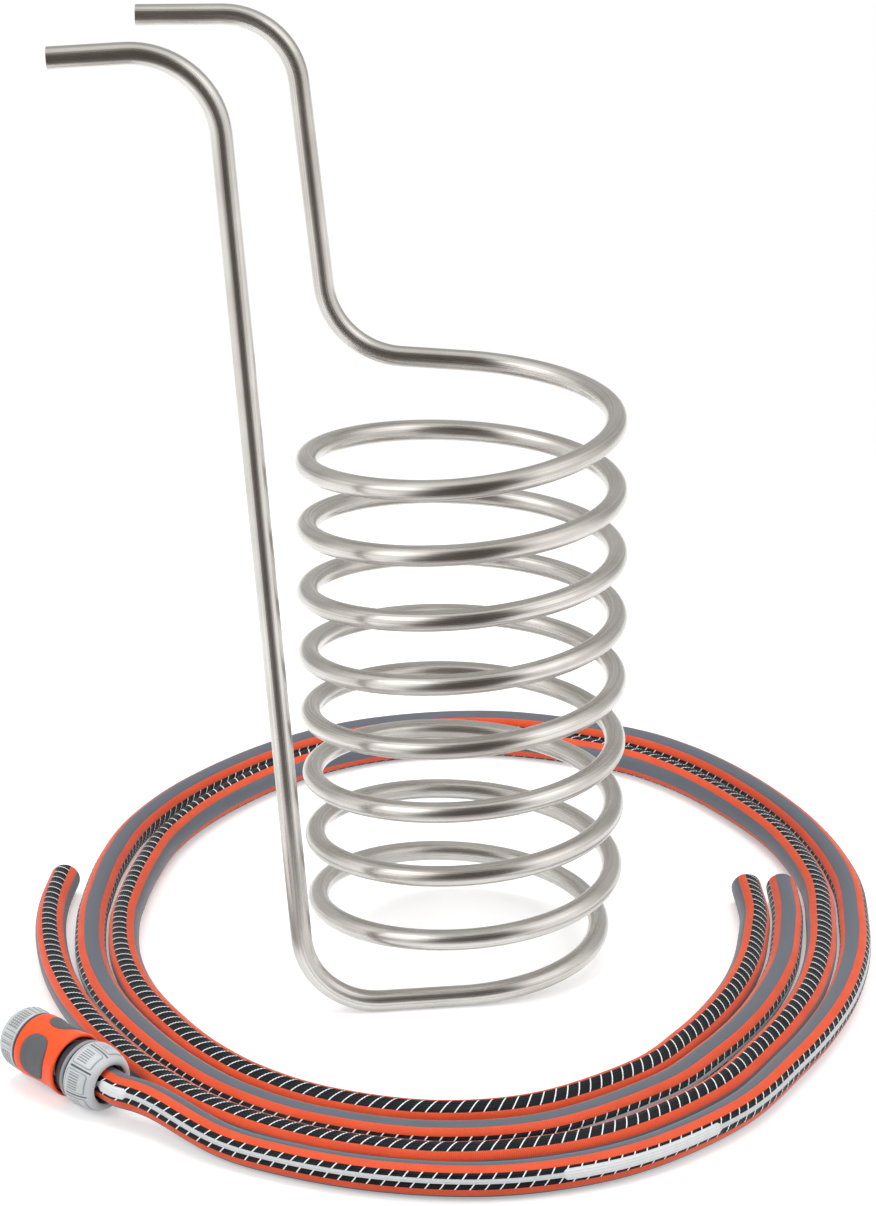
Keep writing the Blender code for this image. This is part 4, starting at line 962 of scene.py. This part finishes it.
def frame_distance(place, along):
    """Metres outwards from the edge of a frame, a rounded rectangle on the nut's surface."""
    half_width = np.radians(FRAME_HALF_DEG) * NUT_RADIUS - FRAME_CORNER
    wide = np.abs(np.radians(place)) * NUT_RADIUS - half_width
    half_length = (FRAME_HIGH - FRAME_LOW) / 2 - FRAME_CORNER
    long = np.abs(along - (FRAME_LOW + FRAME_HIGH) / 2) - half_length
    return (np.hypot(np.maximum(wide, 0), np.maximum(long, 0))
            + np.minimum(np.maximum(wide, long), 0) - FRAME_CORNER)


def nut_pattern(radius, along, angle):
    """The shares of a slot, a frame's line, the raised field in it, its panel and a fine rib."""
    outside = radius > NUT_OUTSIDE
    place = wrapped(angle, NUT_FIELDS, NUT_FIRST_DEG)
    slot = (plateau(NUT_FIELD_DEG / 2 - np.abs(place), SLOT_HALF_DEG, 0.8)
            * plateau(along - SLOT_MIDDLE, SLOT_HALF, 0.0008))
    away = frame_distance(place, along)
    line = plateau(away, 0.00022, 0.00030)
    raised = plateau(away + 0.0007, 0.0007, 0.0004)
    panel = (plateau(place, PANEL_HALF_DEG, 0.5)
             * plateau(along - PANEL_MIDDLE, PANEL_HALF, 0.0003))
    ribs = wrapped(angle - np.radians(NUT_FIRST_DEG), 360 / NUT_RIB_STEP_DEG)
    rib = panel * plateau(ribs, NUT_RIB_HALF_DEG, 0.8)
    return outside * slot, outside * line, outside * raised, outside * panel, outside * rib


def nut_relief(radius, along, angle):
    """Raised fields between sunk slots, each with a cut line and ribs in a sunk panel."""
    slot, line, raised, panel, rib = nut_pattern(radius, along, angle)
    return (RAISED_HEIGHT * raised - SLOT_DEPTH * slot - FRAME_DEPTH * line
            - PANEL_DEPTH * (panel - rib))


# Painted shade: the plastic is darker in the slots, along the cut frame lines and in the sunk panels between the
# ribs.
def nut_groove_shade(radius, along, angle):
    slot, line, raised, panel, rib = nut_pattern(radius, along, angle)
    return np.clip(0.95 * slot + 0.55 * line + 0.80 * (panel - rib), 0, 1)


nut_loop = rounded([
    (11.3, 75.5), (12.3, 76.0), (13.6, 75.8), (15.0, 74.7), (16.1, 72.7), (17.2, 69.3),
    (18.0, 64.5), (18.25, 59.5), (18.1, 57.6), (17.5, 56.8), (13.47, 56.8), (13.47, 63.3),
    (12.17, 73.4), (11.2, 73.9)], 0.8, 0.22)
nut = turned("pale_clamp_nut", nut_loop, 630, nut_relief, {"groove": nut_groove_shade})
finished(nut, pale_plastic, "nut", "clamp_nut")

# ---- Collet, seal, spring and claws ----
# Inside: a slotted black ring that grips the hose, a rubber ring at the bottom of the socket, the
# sleeve's steel spring, and three claws that hold the tap adaptor.
COLLET_SLOTS = 6
COLLET_FIRST_DEG = 30.0
COLLET_SLOT_HALF_DEG = 3.0
COLLET_SLOT_FROM = 0.0661
COLLET_COLUMNS = 240


def collet_mesh():
    """The collet's loop, turned; in a slot the fingers are cut back to the whole ring."""
    loop = rounded([(11.3, 73.1), (12.9, 63.6), (10.37, 63.6), (10.37, 73.1)], 0.3, 0.3)
    radius, along, angle = turned_grid(loop, COLLET_COLUMNS)
    cut = np.abs(wrapped(angle, COLLET_SLOTS, COLLET_FIRST_DEG)) < COLLET_SLOT_HALF_DEG
    along = np.where(cut, np.minimum(along, COLLET_SLOT_FROM), along)
    uv = uv_grid(COLLET_COLUMNS, np.arange(len(loop) + 1) / len(loop))
    return closed_grid("slotted_collet", about_axis(radius, along, angle), uv)


collet_black = moulded("collet_plastic", CORE_BLACK, 0.40, 0.00003)
finished(collet_mesh(), collet_black, "collet", "hose_collet")

seal_rubber = moulded("seal_rubber", (0.014, 0.014, 0.014), 0.5, 0.00001)
seal_loop = rounded([(8.3, 24.1), (8.3, 21.5), (5.6, 21.5), (5.6, 24.1)], 1.1, 0.2)
seal = turned("socket_seal_ring", seal_loop, 96)
finished(seal, seal_rubber, "root", "socket_seal")

SPRING_RADIUS = 0.0129
SPRING_WIRE_RADIUS = 0.0006
SPRING_TURNS = 5
SPRING_ROWS_PER_TURN = 40
WIRE_SIDES = 16
SPRING_FRONT, SPRING_BACK = 0.0306, 0.0511


def spring_mesh():
    """A helix of wire: radius (cos, sin) and an even pitch, swept by a small circle with its ends
    drawn to a point."""
    turn = np.linspace(0, SPRING_TURNS, SPRING_TURNS * SPRING_ROWS_PER_TURN)
    along = SPRING_FRONT + (SPRING_BACK - SPRING_FRONT) * turn / SPRING_TURNS
    around_wire = np.linspace(0, 2 * np.pi, WIRE_SIDES, endpoint=False)[None, :]
    thick = np.full(len(turn), SPRING_WIRE_RADIUS)
    thick[[0, -1]] = 0.0
    radius = SPRING_RADIUS + thick[:, None] * np.cos(around_wire)
    along = along[:, None] + thick[:, None] * np.sin(around_wire)
    angle = np.repeat((2 * np.pi * turn)[:, None], WIRE_SIDES, axis=1)
    uv = uv_grid(WIRE_SIDES, np.arange(len(turn) + 1) * 0.002)
    return without_doubles(closed_grid("sleeve_spring_wire", about_axis(radius, along, angle), uv))


finished(spring_mesh(), steel, "root", "sleeve_spring")

claw_plastic = moulded("claw_plastic", (0.62, 0.64, 0.64), 0.35, 0.00002)
for number in (1, 2, 3):
    claw = frame["nodes"]["locking_claw_%d" % number]
    claw.data.materials.clear()
    claw.data.materials.append(claw_plastic)
